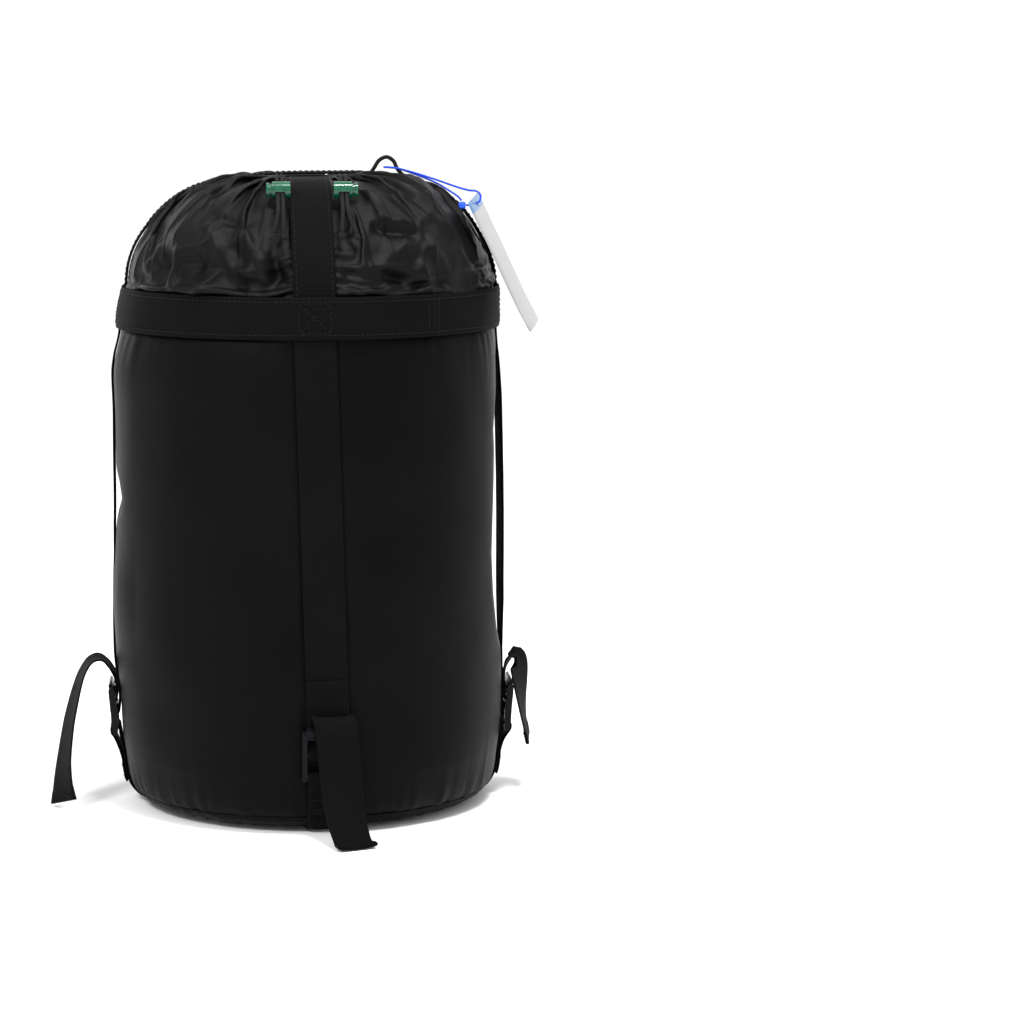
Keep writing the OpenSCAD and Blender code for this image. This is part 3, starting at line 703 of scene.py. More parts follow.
def wall():
    """The sack's wall, from the base seam up to the band, swelling between its straps."""
    nt, nz = ((560, 210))
    prof = foot(0, SEAM_A, 0, 30) + [(BODY_R, z) for z in np.linspace(FOOT_Z, 0.307, 60)[1:]]
    # rows are closer together near the seam and the band
    q = np.linspace(0, 1, nz)
    rows = q - 0.24 * np.sin(2 * math.pi * q) / (2 * math.pi)
    _, ss, R, Z, NR, NZ = profile(smooth_path(prof, 0.003), lambda whole: rows * whole)
    th = np.linspace(0, 2 * math.pi, nt, endpoint=False)
    T, ZZ = np.meshgrid(th, Z)
    _, SD = np.meshgrid(th, ss)
    # the straps' radius round the sack, and the nearest strap
    lat, inner = np.full(T.shape, 1.0), np.zeros(T.shape)
    weight = np.zeros(T.shape)
    for k in range(4):
        r, a = strap_at(k, Z)
        da = (T - a[:, None] + math.pi) % (2 * math.pi) - math.pi
        w = np.clip(np.cos(da), 0, 1) ** 2
        inner += w * r[:, None]
        weight += w
        lat = np.minimum(lat, np.abs(da) * r[:, None])
    inner /= weight
    u = np.clip((lat - 0.0128) / 0.080, 0, 1)
    lobe = (1 - (1 - u) ** 2) ** 0.5
    o = np.stack([np.sin(T), -np.cos(T)], -1)
    behind = inner - BODY_R - 0.0004           # where the cloth is under a strap
    d = behind.copy()
    rise = 1 - np.exp(-SD / 0.010)
    d += 0.0034 * lobe * rise * np.clip((ZZ - 0.006) / 0.03, 0, 1)
    swell = np.clip((lat - 0.0150) / 0.006, 0, 1) * np.clip((-o[..., 0] - 0.88) / 0.08, 0, 1)
    d += 0.0022 * swell * np.exp(-((ZZ - 0.138) / 0.028) ** 2)
    down = np.maximum(BAND_Z - ZZ, 0.0)
    for i in range(nz):
        for j in range(nt):
            z, sd, dn = Z[i], ss[i], down[i, j]
            x, y = o[i, j]
            free = 0.15 + 0.85 * clamp((lat[i, j] - 0.0125) / 0.02)
            w = 0.0011 * fbm(x * 2.0 + 4.1, y * 2.0, z * 10, 2) * clamp((z - 0.02) / 0.04)
            # the straps' pinch, in short level creases beside them
            w += 0.0005 * math.exp(-max(lat[i, j] - 0.013, 0) / 0.009) * wave(x * 4, y * 4, z * 55)
            # puckers under the band
            amp = 0.5 + 0.5 * wave(x * 6, y * 6, 3.3)
            reach = 0.006 + 0.012 * max(0.0, wave(x * 9, y * 9, 8.1) + 0.3)
            pk = wave(x * 15, y * 15, z * 12 + 11.3)
            w += (0.0006 + 0.0020 * amp) * pk * math.exp(-dn / reach) * (1 - math.exp(-dn / 0.0020))
            # puckers over the base seam
            if sd < 0.08:
                amp = 0.45 + 0.55 * wave(x * 4 + 7, y * 4, 1.3)
                reach = 0.006 + 0.013 * max(0.0, wave(x * 12, y * 12, 2.1) + 0.3)
                pk = wave(x * 19 + 3, y * 19, sd * 10)
                pk = pk - 0.5 * max(0.0, 0.3 - abs(wave(x * 13, y * 13, sd * 14 + 6.6)))
                w += (0.0007 + 0.0028 * amp) * pk * math.exp(-sd / reach) * (1 - math.exp(-sd / 0.0016))
                w += 0.0016 * (math.exp(-sd / 0.016) - math.exp(-sd / 0.0025))
            d[i, j] += w * free
    # drawn in under the band
    tuck = 0.0008 + 0.0002 * np.sin(3 * T)
    d = tuck + (d - tuck) * (1 - np.exp(-down / 0.0032)) * (down > 0)
    d = np.minimum(d, behind + np.maximum(lat - 0.0128, 0) * 0.5)
    # a hollow behind each strap, so that the locks clear the cloth when the sack is squashed
    hollow = np.clip((0.0165 - lat) / 0.004, 0, 1) * np.clip((0.150 - ZZ) / 0.02, 0, 1)
    hollow *= np.clip((ZZ - 0.03) / 0.02, 0, 1)
    room = np.where(np.abs(o[..., 0]) > 0.7, 0.0036, -0.0002)
    d -= hollow * np.maximum(d - room, 0)
    r = R[:, None] + NR[:, None] * d
    x, y, z = r * o[..., 0], r * o[..., 1], Z[:, None] + NZ[:, None] * d
    for sign, table in ((1, RIGHT_DENT), (-1, LEFT_DENT)):
        t = np.array(table, float) * MM
        cap = np.interp(Z, t[:, 0], t[:, 1], left=0.2, right=0.2)[:, None]
        side = x * sign > 0.05
        new = soft_min(x * sign, cap, 0.0022)
        f = np.where(side, new / np.maximum(np.abs(x), 1e-6), 1.0)
        x, y = x * f, y * (1 + (f - 1) * 0.3)
    return grid("sack_wall", np.stack([x, y, z], -1), uv_grid(round_u(nt, BODY_R), ss), NYLON_SHADED)


body = wall()
thicken(body)
use(body, "sack", "nylon", "body_panel", "packed_load")


def base():
    """The base panel: out from the middle over the floor and up to the seam."""
    nt, nr = ((384, 64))
    prof = [(r, BASE_Z) for r in (0.0005, 0.03, 0.06, 0.08)] + foot(0, -90, SEAM_A - 0.6, 30)
    whole, ss, R, Z, NR, NZ = profile(prof, lambda whole: np.linspace(0, whole, nr))
    P = np.zeros((nr, nt, 3))
    for j, t, o in around(nt):
        for i in range(nr):
            e = whole - ss[i]
            pk = wave(o[0] * 21 + 3, o[1] * 21, e * 12)
            d = 0.0010 * pk * math.exp(-e / 0.012) * (1 - math.exp(-e / 0.002))
            d += 0.0008 * (math.exp(-e / 0.012) - math.exp(-e / 0.002))
            d += 0.0004 * fbm(o[0] * R[i] * 40, o[1] * R[i] * 40, 4.4, 2) * min(1, R[i] / 0.02) - 0.0002
            d = min(d, 0.0016 if Z[i] > 0.004 else 0.0002)
            lat = min(abs(math.sin(t - math.radians(a))) * R[i] for a in SIDE_A[:2])
            if lat < 0.0135:
                d = min(d, -0.0001)
            if R[i] < 0.024 and lat < 0.0135:
                d -= 0.0016 * max(0.0, 1 - max(R[i] - 0.020, 0) / 0.004)
            P[i, j] = ((R[i] + NR[i] * d) * o[0], (R[i] + NR[i] * d) * o[1], Z[i] + NZ[i] * d)
    tt = np.linspace(0, 2 * math.pi, nt + 1)
    UV = np.stack([np.sin(tt), -np.cos(tt)], -1) * ss[:, None, None]
    return grid("base_cloth", P, UV, NYLON_BASE)


base_cloth = base()
thicken(base_cloth)
use(base_cloth, "sack", "nylon", "base_panel", "base_seam_tape")


def piping():
    """The rolled seam between wall and base, with its needle puckers."""
    n, sides = 720, 8
    r0, z0 = foot(0, SEAM_A, SEAM_A, 0)[0]
    P = np.zeros((sides, n, 3))
    for j, t, o in around(n):
        w = 0.00010 * math.sin(t * 250) + 0.00022 * wave(o[0] * 30, o[1] * 30, 5)
        for k in range(sides):
            q = 2 * math.pi * k / sides
            rr = 0.0008 + w
            x = r0 - 0.0004 + rr * 1.2 * math.cos(q)
            P[k, j] = (x * o[0], x * o[1], z0 + rr * math.sin(q))
    P = np.concatenate([P, P[:1]])
    UV = uv_grid(round_u(n, r0), np.linspace(0, 0.005, sides + 1))
    return grid("base_seam_roll", P, UV, NYLON_SHADED)


use(piping(), "sack", "nylon")


# ---------------------------- the crown: a tube of cloth drawn in over the load
TUBE_TOP = 0.177          # how much cloth there is from the band to the hem
CLOTH_LOW = 0.297         # its lower edge, behind the band
HEM_PLEATS = 21
# (angle up the shoulder in degrees, how far it has sunk in mm) at the left
SINK = [(-20, 0), (-14, 0.6), (-8, 2.0), (-2, 3.8), (4, 4.2), (12, 4.2), (24, 4.6), (36, 5.3), (52, 4.4),
        (70, 3.0), (90, 1.6), (180, 1.0)]


def sink(x):
    """The crown slumps at its left, cloth and strap together."""
    x = np.asarray(x, float)
    r = np.hypot(x[..., 0], x[..., 1])
    cr, cz = r - CROWN_X, x[..., 2] - CROWN_Z
    q = np.degrees(np.arctan2(cz, np.maximum(cr, 1e-6)))
    t = np.array(SINK, float)
    deep = np.interp(q, t[:, 0], t[:, 1]) * MM
    left = np.clip(-x[..., 0] / np.maximum(r, 1e-6), 0, 1) ** 1.5 * np.clip(r / 0.04, 0, 1) ** 2
    right = np.clip(x[..., 0] / np.maximum(r, 1e-6), 0, 1) ** 2 * np.exp(-((q - 30) / 16) ** 2)
    deep = deep * left + 0.0015 * right
    qa = np.radians(np.clip(q, 0, 90))
    out = x.copy()
    f = 1 - deep * np.cos(qa) / np.maximum(r, 1e-6)
    out[..., 0] *= f
    out[..., 1] *= f
    out[..., 2] -= deep * np.sin(qa)
    return out


def sunk(o):
    """A finished piece of the lid, moved as the crown under it has sunk."""
    co = np.zeros(len(o.data.vertices) * 3, np.float32)
    o.data.vertices.foreach_get("co", co)
    o.data.vertices.foreach_set("co", sink(co.reshape(-1, 3)).astype(np.float32).ravel())
    o.data.update()
    return o


def pleat(t):
    """The wave that the gathers of crown and hem share, from -1 to 1."""
    ph = HEM_PLEATS * t + 2.0 * wave(math.sin(t) * 1.8, -math.cos(t) * 1.8, 9.7)
    return 2 / math.pi * math.asin(math.sin(ph))


def crown_stand(x):
    """How far points stand off the crown's profile, and the outward direction there."""
    r = np.hypot(x[..., 0], x[..., 1])
    z = x[..., 2]
    cr, cz = r - CROWN_X, z - CROWN_Z
    h = np.hypot(cr, cz) + 1e-9
    low, top = z < CROWN_Z, (r < CROWN_X) & (z >= CROWN_Z)
    sd = np.where(low, r - BODY_R, np.where(top, z - CROWN_TOP, h - CROWN_R))
    nr = np.where(low, 1.0, np.where(top, 0.0, cr / h))
    nz = np.where(low, 0.0, np.where(top, 1.0, cz / h))
    rr = np.maximum(r, 1e-6)
    return sd, np.stack([x[..., 0] / rr * nr, x[..., 1] / rr * nr, nz], -1)


def strap_limit(x):
    """How far the cloth may stand out: under the upper straps hardly at all."""
    lim = np.full(x.shape[:-1], 1.0)
    for a in TOP_A:
        ac, o = across_of(a), out_of(a)
        lat = np.abs(x[..., 0] * ac[0] + x[..., 1] * ac[1])
        fwd = x[..., 0] * o[0] + x[..., 1] * o[1]
        lim = np.where(fwd > 0.003, np.minimum(lim, 0.0001 + np.maximum(lat - 0.0129, 0) * 1.5), lim)
    return lim


def project(x, w, a, b, rest, stiff, pull):
    """One round of distance constraints between the index pairs a and b, which share no point.

    Without pull they only push apart."""
    d = x[b] - x[a]
    l = np.sqrt(np.einsum("...i,...i", d, d)) + 1e-12
    c = l - rest
    if not pull:
        c = np.minimum(c, 0)
    wa, wb = w[a], w[b]
    d *= (stiff * c / l / np.maximum(wa + wb, 1e-9))[..., None]
    x[a] += d * wa[..., None]
    x[b] -= d * wb[..., None]


def pairs(ns, nt, di, dj):
    """Index pairs (i, j)-(i + di, j + dj), in groups that share no point. Columns wrap."""
    idx = np.arange(ns * nt).reshape(ns, nt)
    out = []
    for odd in range(2):
        if di:
            rows = np.array([i for i in range(ns - di) if (i // di) % 2 == odd])
            a, b = idx[rows], np.roll(idx[rows + di], -dj, 1)
        else:
            cols = np.array([j for j in range(nt) if (j // dj) % 2 == odd])
            a, b = idx[:, cols], idx[:, (cols + dj) % nt]
        out.append((a.ravel(), b.ravel()))
    return out


def hem(nt, p):
    """The drawn-in edge at a share p of the drawing in: a zigzag that keeps the cloth's length."""
    rm = BODY_R + (0.0192 - BODY_R) * p
    half = 2 * math.pi * BODY_R / (2 * HEM_PLEATS)
    amp = 0.5 * math.sqrt(max(half ** 2 - (math.pi * rm / HEM_PLEATS) ** 2, 0))
    top = CLOTH_LOW + TUBE_TOP
    out = np.zeros((nt, 3))
    for j, t, _ in around(nt):
        w = pleat(t)
        r = rm + amp * w * (1 + 0.25 * wave(math.sin(t) * 4, -math.cos(t) * 4, 2.7))
        t += p * (0.12 + 0.30 * wave(math.sin(t) * 1.2, -math.cos(t) * 1.2, 5.5))
        o = (math.sin(t), -math.cos(t))
        out[j] = (r * o[0], r * o[1], top + (0.3868 - top) * p ** 0.8 + 0.0015 * w * p)
    return out


def settle(x, steps, iters, p0, core, cap, self_from=None, damp=0.90):
    """Position-based cloth: x[row, column] is drawn in at its top edge from share p0 to all of it.

    It lies over the core, under the straps, and nowhere higher than cap."""
    ns, nt = x.shape[:2]
    hx, hy = 2 * math.pi * BODY_R / nt, TUBE_TOP / (ns - 1)
    w = np.ones(ns * nt)
    w[:2 * nt] = w[-nt:] = 0
    free = w > 0
    X = x.reshape(-1, 3).copy()
    prev = X.copy()
    # neighbours keep their distance, diagonals resist shear, and every second point resists folding
    kinds = [(1, 0, hy, 1.0, True), (0, 1, hx, 1.0, True), (1, 1, math.hypot(hx, hy), 0.25, True),
             (1, -1, math.hypot(hx, hy), 0.25, True), (0, 2, 2 * hx * 0.80, 0.22, False),
             (2, 0, 2 * hy * 0.88, 0.35, False)]
    springs = [(g, rest, stiff, pull) for di, dj, rest, stiff, pull in kinds for g in pairs(ns, nt, di, dj)]
    core, cap = core.ravel(), cap.ravel()
    for step in range(steps):
        v = (X - prev) * damp
        v *= np.minimum(1, 0.004 / np.maximum(np.linalg.norm(v, axis=1, keepdims=True), 1e-9))
        prev = X.copy()
        X[free] += v[free] + [0, 0, -0.00006]
        X[-nt:] = hem(nt, p0 + (1 - p0) * min((step + 1) / (steps * 0.8), 1))
        for it in range(iters):
            for (a, b), rest, stiff, pull in springs:
                project(X, w, a, b, rest, stiff, pull)
            if it % 2 == 1:
                sd, n = crown_stand(X)
                into = np.where(free, np.maximum(core - sd, 0), 0)
                X += n * (into * 0.8)[:, None]
                hit = into > 0
                X[hit] += (prev[hit] - X[hit]) * 0.15
                over = np.where(free, np.maximum(sd - np.minimum(strap_limit(X), cap), 0), 0)
                X -= n * (over * 0.5)[:, None]
        if self_from is not None and step >= self_from and (step - self_from) % 3 == 0:
            X += keep_apart(X, nt) * free[:, None]
    return X.reshape(ns, nt, 3)


def keep_apart(X, nt, dist=0.0015):
    """Moves that part layers of cloth which have come too close."""
    tree = kdtree.KDTree(len(X))
    for i, q in enumerate(X):
        tree.insert(q, i)
    tree.balance()
    move, count = np.zeros_like(X), np.zeros(len(X))
    for i in range(2 * nt, len(X) - nt):
        ri, ci = divmod(i, nt)
        for co, j, d in tree.find_range(X[i], dist):
            if j <= i or d < 1e-7:
                continue
            rj, cj = divmod(j, nt)
            dc = abs(ci - cj)
            if min(dc, nt - dc) <= 2 and abs(ri - rj) <= 2:
                continue
            g = (X[i] - X[j]) * (0.5 * (dist - d) / d)
            move[i] += g
            move[j] -= g
            count[i] += 1
            count[j] += 1
    return move / np.maximum(count, 1)[:, None]


def finer(x):
    """Twice the points each way, on smooth curves."""
    ns, nt = x.shape[:2]
    y = np.zeros((ns, nt * 2, 3))
    y[:, ::2] = x
    y[:, 1::2] = (9 * (x + np.roll(x, -1, 1)) - np.roll(x, 1, 1) - np.roll(x, -2, 1)) / 16
    z = np.zeros((ns * 2 - 1, nt * 2, 3))
    z[::2] = y
    m = (y[:-1] + y[1:]) / 2
    m[1:-1] = (9 * (y[1:-2] + y[2:-1]) - y[:-3] - y[3:]) / 16
    z[1::2] = m
    return z


def under_tag(t, s):
    """1 where the hang tag lies over the cloth, falling to 0 around it."""
    return math.exp(-((t - 1.30) / 0.30) ** 2 - ((s - 0.056) / 0.030) ** 2)


def crown_limits(ns, nt):
    """How low and how high the cloth may lie: the stuffing under it is lumpy, and full near the straps."""
    s = np.linspace(0, TUBE_TOP, ns)[:, None]
    th = np.linspace(0, 2 * math.pi, nt, endpoint=False)[None]
    near = np.abs((th + math.pi / 4) % (math.pi / 2) - math.pi / 4) * BODY_R
    lump = np.array([[wave(math.sin(t) * 2.1 + 7.7, -math.cos(t) * 2.1, q * 16) for t in th[0]]
                     for q in s[:, 0]])
    up = np.clip((s - 0.026) / 0.040, 0, 1)
    core = -0.0006 + up * (-0.0026 + 0.0042 * np.abs(np.sin(2 * th)) ** 0.8 + 0.0050 * lump)
    core *= 1 - np.clip((s - 0.125) / 0.03, 0, 1) * 0.7
    side = np.clip(1 - (near - 0.008) / 0.016, 0, 1) * (np.abs(np.sin(th)) > 0.7)
    core = core * (1 - side) - 0.0002 * side
    cap = 0.0008 + 0.0085 * np.clip((s - 0.029) / 0.03, 0, 1)
    tag = np.array([[under_tag(t, q) for t in th[0]] for q in s[:, 0]])
    core = core - tag * np.maximum(core + 0.0006, 0)
    cap = cap * (1 - tag) + 0.0014 * tag
    return core, cap


# long folds across the crown's front: from (x, z) to (x, z), how far out, and half the width, in mm
FOLDS = [
    (-64, 369, -53, 343, 3.2, 2.6), (-53, 343, -24, 331, 2.6, 2.4), (-54, 341, -75, 320, 3.2, 2.4),
    (-41, 365, -34, 348, 2.6, 2.6), (-34, 348, -27, 332, 2.6, 2.4), (-81, 353, -84, 325, 3.0, 2.8),
    (-103, 338, -92, 354, 2.2, 2.4), (-24, 347, -16, 329, -4.6, 4.2), (-89, 352, -92, 323, -4.0, 3.6),
    (-61, 373, -42, 366, -3.2, 3.2), (-46, 329, -31, 334, -2.6, 3.6), (-72, 352, -66, 332, -2.8, 5.0),
    (-48, 356, -43, 340, -2.6, 4.0), (34, 365, 64, 359, -4.4, 3.4), (36, 370, 60, 364, 2.6, 2.6),
    (15, 345, 22, 330, -3.4, 3.4), (40, 336, 66, 329, -3.8, 3.6), (38, 342, 63, 337, 2.4, 2.6),
    (17, 334, 34, 318, 2.4, 2.0), (63, 345, 72, 323, 2.2, 2.4), (70, 350, 80, 328, -2.4, 3.6),
    (88, 352, 98, 332, 2.0, 2.0), (80, 332, 86, 319, 1.8, 1.8),
]


def folds(x):
    """How far each point of the crown's cloth stands out in the long folds of its front."""
    p = x[..., [0, 2]] / MM
    out = np.zeros(x.shape[:-1])
    for x0, z0, x1, z1, high, half in FOLDS:
        a, ab = np.array([x0, z0]), np.array([x1 - x0, z1 - z0])
        t = np.clip(((p - a) @ ab) / (ab @ ab), 0, 1)
        dist = np.linalg.norm(p - a - t[..., None] * ab, axis=-1)
        out += 1.35 * high * MM * np.exp(-(dist / half) ** 1.15) * np.sqrt(np.clip(4.4 * t * (1 - t), 0, 1))
    return out * np.clip((-x[..., 1] - 0.015) / 0.02, 0, 1)


def under_locks(x):
    """1 where a cord lock lies on the cloth or slides over it, falling to 0 around it."""
    a = 1 - np.maximum(np.abs(np.abs(x[..., 0]) - 0.020) - 0.0085, 0) / 0.005
    b = 1 - np.maximum(np.abs(x[..., 1] + 0.0865) - 0.0165, 0) / 0.006
    return np.clip(a, 0, 1) * np.clip(b, 0, 1)


def creases(x):
    """Sharp ridges and hollows in stiff cloth: the borders between cells of uneven size."""
    ns, nt = x.shape[:2]
    s = np.linspace(0, TUBE_TOP, ns)
    sd, n = crown_stand(x)
    d = np.zeros((ns, nt))
    long = folds(x)
    for i in range(ns):
        fade = clamp((s[i] - 0.030) / 0.012) * clamp((0.150 - s[i]) / 0.03)
        low = clamp((s[i] - 0.0275) / 0.003) * math.exp(-max(s[i] - 0.030, 0) / 0.010)
        for j, t, o in around(nt):
            o = Vector((*o, 0))
            lat = abs((t + math.pi / 4) % (math.pi / 2) - math.pi / 4) * math.hypot(x[i, j, 0], x[i, j, 1])
            free = clamp((lat - 0.0135) / 0.010)
            q = o * 3.4 + Vector((0, 0, s[i] * 26))
            offsets = ((0, 0, 0), (5, 5, 5), (9, 2, 7))
            q += Vector([noise.noise(q * 0.9 + Vector(v)) for v in offsets]) * 0.5
            f = noise.voronoi(q)[0]
            ridge = max(0.0, 1 - (f[1] - f[0]) / 0.42)
            f = noise.voronoi(q * 0.8 + Vector((3.3, 8.1, 2.2)))[0]
            hollow = max(0.0, 1 - (f[1] - f[0]) / 0.36)
            amount = 0.55 + 0.9 * noise.noise(o * 1.6 + Vector((2.1, 4.4, s[i] * 9)))
            w = fade * max(amount, 0.12) * (0.0036 * ridge - 0.0034 * hollow) * (1 - under_tag(t, s[i]))
            ripple = 1 - abs(noise.noise(o * 15 + Vector((0, 0, s[i] * 14 + 3.7)))) * 5
            w += low * 0.0011 * ripple * max(0.0, 0.45 + noise.noise(o * 2.3 + Vector((7.7, 0, 0))) * 1.2)
            w += long[i, j] * (1 - under_tag(t, s[i])) * clamp((s[i] - 0.024) / 0.008)
            d[i, j] = w * free
    x = x + n * d[..., None]
    sd, n = crown_stand(x)
    return x - n * (under_locks(x) * np.maximum(sd - 0.0002, 0))[..., None]


def crown():
    """The crown's cloth: a tube, settled coarse and then fine, with its creases and its slump."""
    nt, ns = 192, 45
    s = np.linspace(0, TUBE_TOP, ns)
    th = np.linspace(0, 2 * math.pi, nt, endpoint=False)
    o = np.stack([np.sin(th), -np.cos(th), np.zeros(nt)], 1)
    x = o[None] * BODY_R + np.array([0, 0, 1.0]) * (CLOTH_LOW + s)[:, None, None]
    shift = Vector((3.1, -3.1, 1.15))
    n = np.array([[noise.fractal(Vector(p * 26) + shift, 1.0, 2.0, 3) for p in row] for row in x])
    x += o[None] * (n * 0.0030 * np.clip(s / 0.03, 0, 1)[:, None])[..., None]
    x = settle(x, 150, 7, 0.0, *crown_limits(ns, nt))
    x = finer(x)
    ns, nt = x.shape[:2]
    x = settle(x, 36, 7, 1.0, *crown_limits(ns, nt), self_from=9, damp=0.8)
    UV = uv_grid(round_u(nt, BODY_R), 0.3 + np.linspace(0, TUBE_TOP, ns))
    return grid("crown_cloth", sink(creases(x)), UV, NYLON_CROWN)


crown_cloth = crown()
sub = crown_cloth.modifiers.new("smooth", "SUBSURF")
sub.levels = sub.render_levels = 1
thicken(crown_cloth)
use(crown_cloth, "lid", "nylon", "crown_fabric")


# ---------------------------- the gathered mouth
def weld(o, dist=1e-6):
    """Joins a piece's points that lie in the same place."""
    bm = bmesh_from(o)
    bmesh.ops.remove_doubles(bm, verts=bm.verts, dist=dist)
    bmesh_to(bm, o)
    return o


def mouth():
    """The drawcord's channel, gathered nearly closed."""
    nt, sides = 840, 22
    P = np.zeros((sides + 1, nt, 3))
    for j, t, o in around(nt):
        w = pleat(t)
        n = wave(o[0] * 6, o[1] * 6, 1.5)
        ro, ri = 0.0203 + 0.0026 * w + 0.0010 * n, 0.0125 + 0.0024 * w
        for k in range(sides + 1):
            q = 2 * math.pi * k / sides
            c, s = math.cos(q), math.sin(q)
            r = (ro + ri) / 2 + (ro - ri) / 2 * power(c, 0.75)
            z = 0.3850 + 0.0040 * power(s, 0.85) + 0.0008 * (w * 0.6 + n) * max(s, 0)
            P[k, j] = (r * o[0], r * o[1], z)
    UV = uv_grid(round_u(nt, BODY_R), np.linspace(0, 0.028, sides + 1))
    return weld(grid("mouth_hem", P, UV, NYLON_CROWN))


use(mouth(), "lid", "nylon", "neck_hem", "drawcord_hem_run")


def mouth_load():
    """The stuffing's own cover, seen down in the mouth."""
    nr, nt = 18, 96
    P = np.zeros((nr, nt, 3))
    for i in range(nr):
        r = 0.0005 + 0.0185 * i / (nr - 1)
        for j, t, o in around(nt):
            z = 0.3822 - 0.0001 * i + 0.0011 * fbm(r * o[0] * 90, -r * o[1] * 90, 3.3, 3)
            P[i, j] = (r * o[0], r * o[1], z)
    UV = uv_grid(np.linspace(0, 0.06, nt + 1), np.linspace(0, 0.02, nr))
    o = grid("mouth_load", P, UV, LOAD)
    return capped(o, lambda e: e.verts[0].co.xy.length < 0.002)


use(mouth_load(), "lid", "packed_load")


# ---------------------------- the lid's band and upper straps
LAP_A = 38.5              # where the band's outer end is, in degrees from the front
LAP = 30.0                # how far it lies over its own start
STITCH_IN = 0.0105        # how far a strap's rows of stitches are from its middle


def band_path():
    """Round the sack once and on over its own start."""
    a = np.arange(LAP_A - 360 - LAP, LAP_A + 0.01, 1.0)
    over = np.clip((a - (LAP_A - LAP - 5)) / 5, 0, 1)
    over = over * over * (3 - 2 * over)
    r = BAND_R + WEB_T / 2 + over * (WEB_T + 0.0001)
    q = np.radians(a)
    return np.stack([r * np.sin(q), -r * np.cos(q), np.full(len(q), BAND_Z + WEB_W / 2)], 1), q


band_pts, band_q = band_path()
o = sunk(ribbon("lid_band_webbing", band_pts, (0, 0, 1), seed=2))
use(o, "lid", "webbing", "lid_band")
band_out = np.stack([np.sin(band_q), -np.cos(band_q), np.zeros(len(band_q))], 1)
runs = []
for dz in (-0.0098, 0.0098):
    runs.append((band_pts[25:] + band_out[25:] * WEB_T / 2 + [0, 0, dz], band_out[25:]))
for k in (3, 5):
    p = band_pts[-k] + band_out[-k] * WEB_T / 2
    runs.append((np.array([p + [0, 0, -0.009], p + [0, 0, 0.009]]), np.array([band_out[-k]] * 2)))


def box_stitch(angle, out, z0, w=0.0095, h=0.0088):
    """A sewn box with its diagonals, w and h from its middle to its edges, at a distance out."""
    a, n = across_of(angle), out_of(angle)

    def run(corner, other):
        x, z = np.linspace(corner, other, 9).T
        x, z = x * w, z0 + z * h
        r = np.sqrt(np.maximum(out * out - x * x, 0))
        p = a * x[:, None] + n * r[:, None] + np.array([0, 0, 1.0]) * z[:, None]
        return p, unit(p * [1, 1, 0])
    corners = [(-1, -1), (1, -1), (1, 1), (-1, 1)]
    edges = [run(corners[i], corners[(i + 1) % 4]) for i in range(4)]
    return edges + [run((-1, -1), (1, 1)), run((-1, 1), (1, -1))]


for a in TOP_A:
    runs += box_stitch(a, BAND_R + WEB_T, BAND_Z + WEB_W / 2)
use(sunk(stitches("lid_band_stitches", runs)), "lid", "webbing")


def top_path(lift):
    """Over the crown from side to side, lifted in the middle where it crosses the other strap."""
    d = GAP + WEB_T / 2
    half = [(BODY_R + d, z) for z in (0.304, 0.311, 0.318)] + shoulder(d)
    half += [(x, CROWN_TOP + d) for x in (0.040, 0.030, 0.020, 0.010)]
    half = [(r, z + lift * clamp((0.050 - r) / 0.020)) for r, z in half]
    whole = half + [(0.0, CROWN_TOP + d + lift)] + [(-r, z) for r, z in half[::-1]]
    return smooth_path(whole, 0.0020)


for angle, name, lift in ((0, "front_back", 0.0), (90, "left_right", 0.0025)):
    p = top_path(lift)
    over = np.clip((p[:, 1] - 0.325) / 0.05, 0, 1)
    shift = (-0.0010 if angle == 0 else 0.0012) * over * over * (3 - 2 * over) * np.clip(p[:, 0] / 0.03, 0, 1)
    pts = place(angle, np.stack([shift, p[:, 0], p[:, 1]], 1))
    o = sunk(ribbon("top_strap_" + name + "_webbing", pts, across_of(angle), seed=3 + angle))
    use(o, "lid", "webbing", "top_strap_" + name)
    m = unit(np.cross(tangents(pts), across_of(angle)))
    m *= np.sign(m[len(m) // 2, 2])
    runs = [(pts + across_of(angle) * side * STITCH_IN + m * WEB_T / 2, m) for side in (-1, 1)]
    o = sunk(stitches("top_strap_" + name + "_stitches", runs, pitch=0.0036, length=0.0026))
    use(o, "lid", "webbing")


# ---------------------------- the straps down the sides
STRAP_SPLIT = 0.095       # the height where each side strap is cut into its lower and its upper piece
STRAP_TOP = 0.3035
STRAP_TWIST = [0, 0.075, 0, 0]      # each side strap's turn round its own length, in radians


def squash_from(o):
    """Gives a piece its own copy of its mesh."""
    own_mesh(o)


for k, side in enumerate(SIDES):
    z0 = BAR_Z[k] + START
    for part, za, zb, n in (("lower", z0, STRAP_SPLIT, 14), ("upper", STRAP_SPLIT, STRAP_TOP, 110)):
        z = np.linspace(za, zb, n)
        r, q = strap_at(k, z)
        r = r + WEB_T / 2
        if part == "lower":
            # its last ring turns in behind the upper strap's end
            z[-1] += 0.0015
            r[-1] -= 0.0002
        pts = np.stack([r * np.sin(q), -r * np.cos(q), z], 1)
        q = q + STRAP_TWIST[k] * np.clip((z - STRAP_SPLIT) / 0.03, 0, 1) * np.clip((0.285 - z) / 0.03, 0, 1)
        across = np.stack([np.cos(q), np.sin(q), 0 * q], 1)
        o = ribbon("side_strap_" + side + "_" + part, pts, across, seed=10 + k, s0=za)
        if part == "lower":
            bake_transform(o)
        else:
            use(o, "sack", "webbing", "compression_strap_" + side)
            squash_from(o)
squash_from(body)


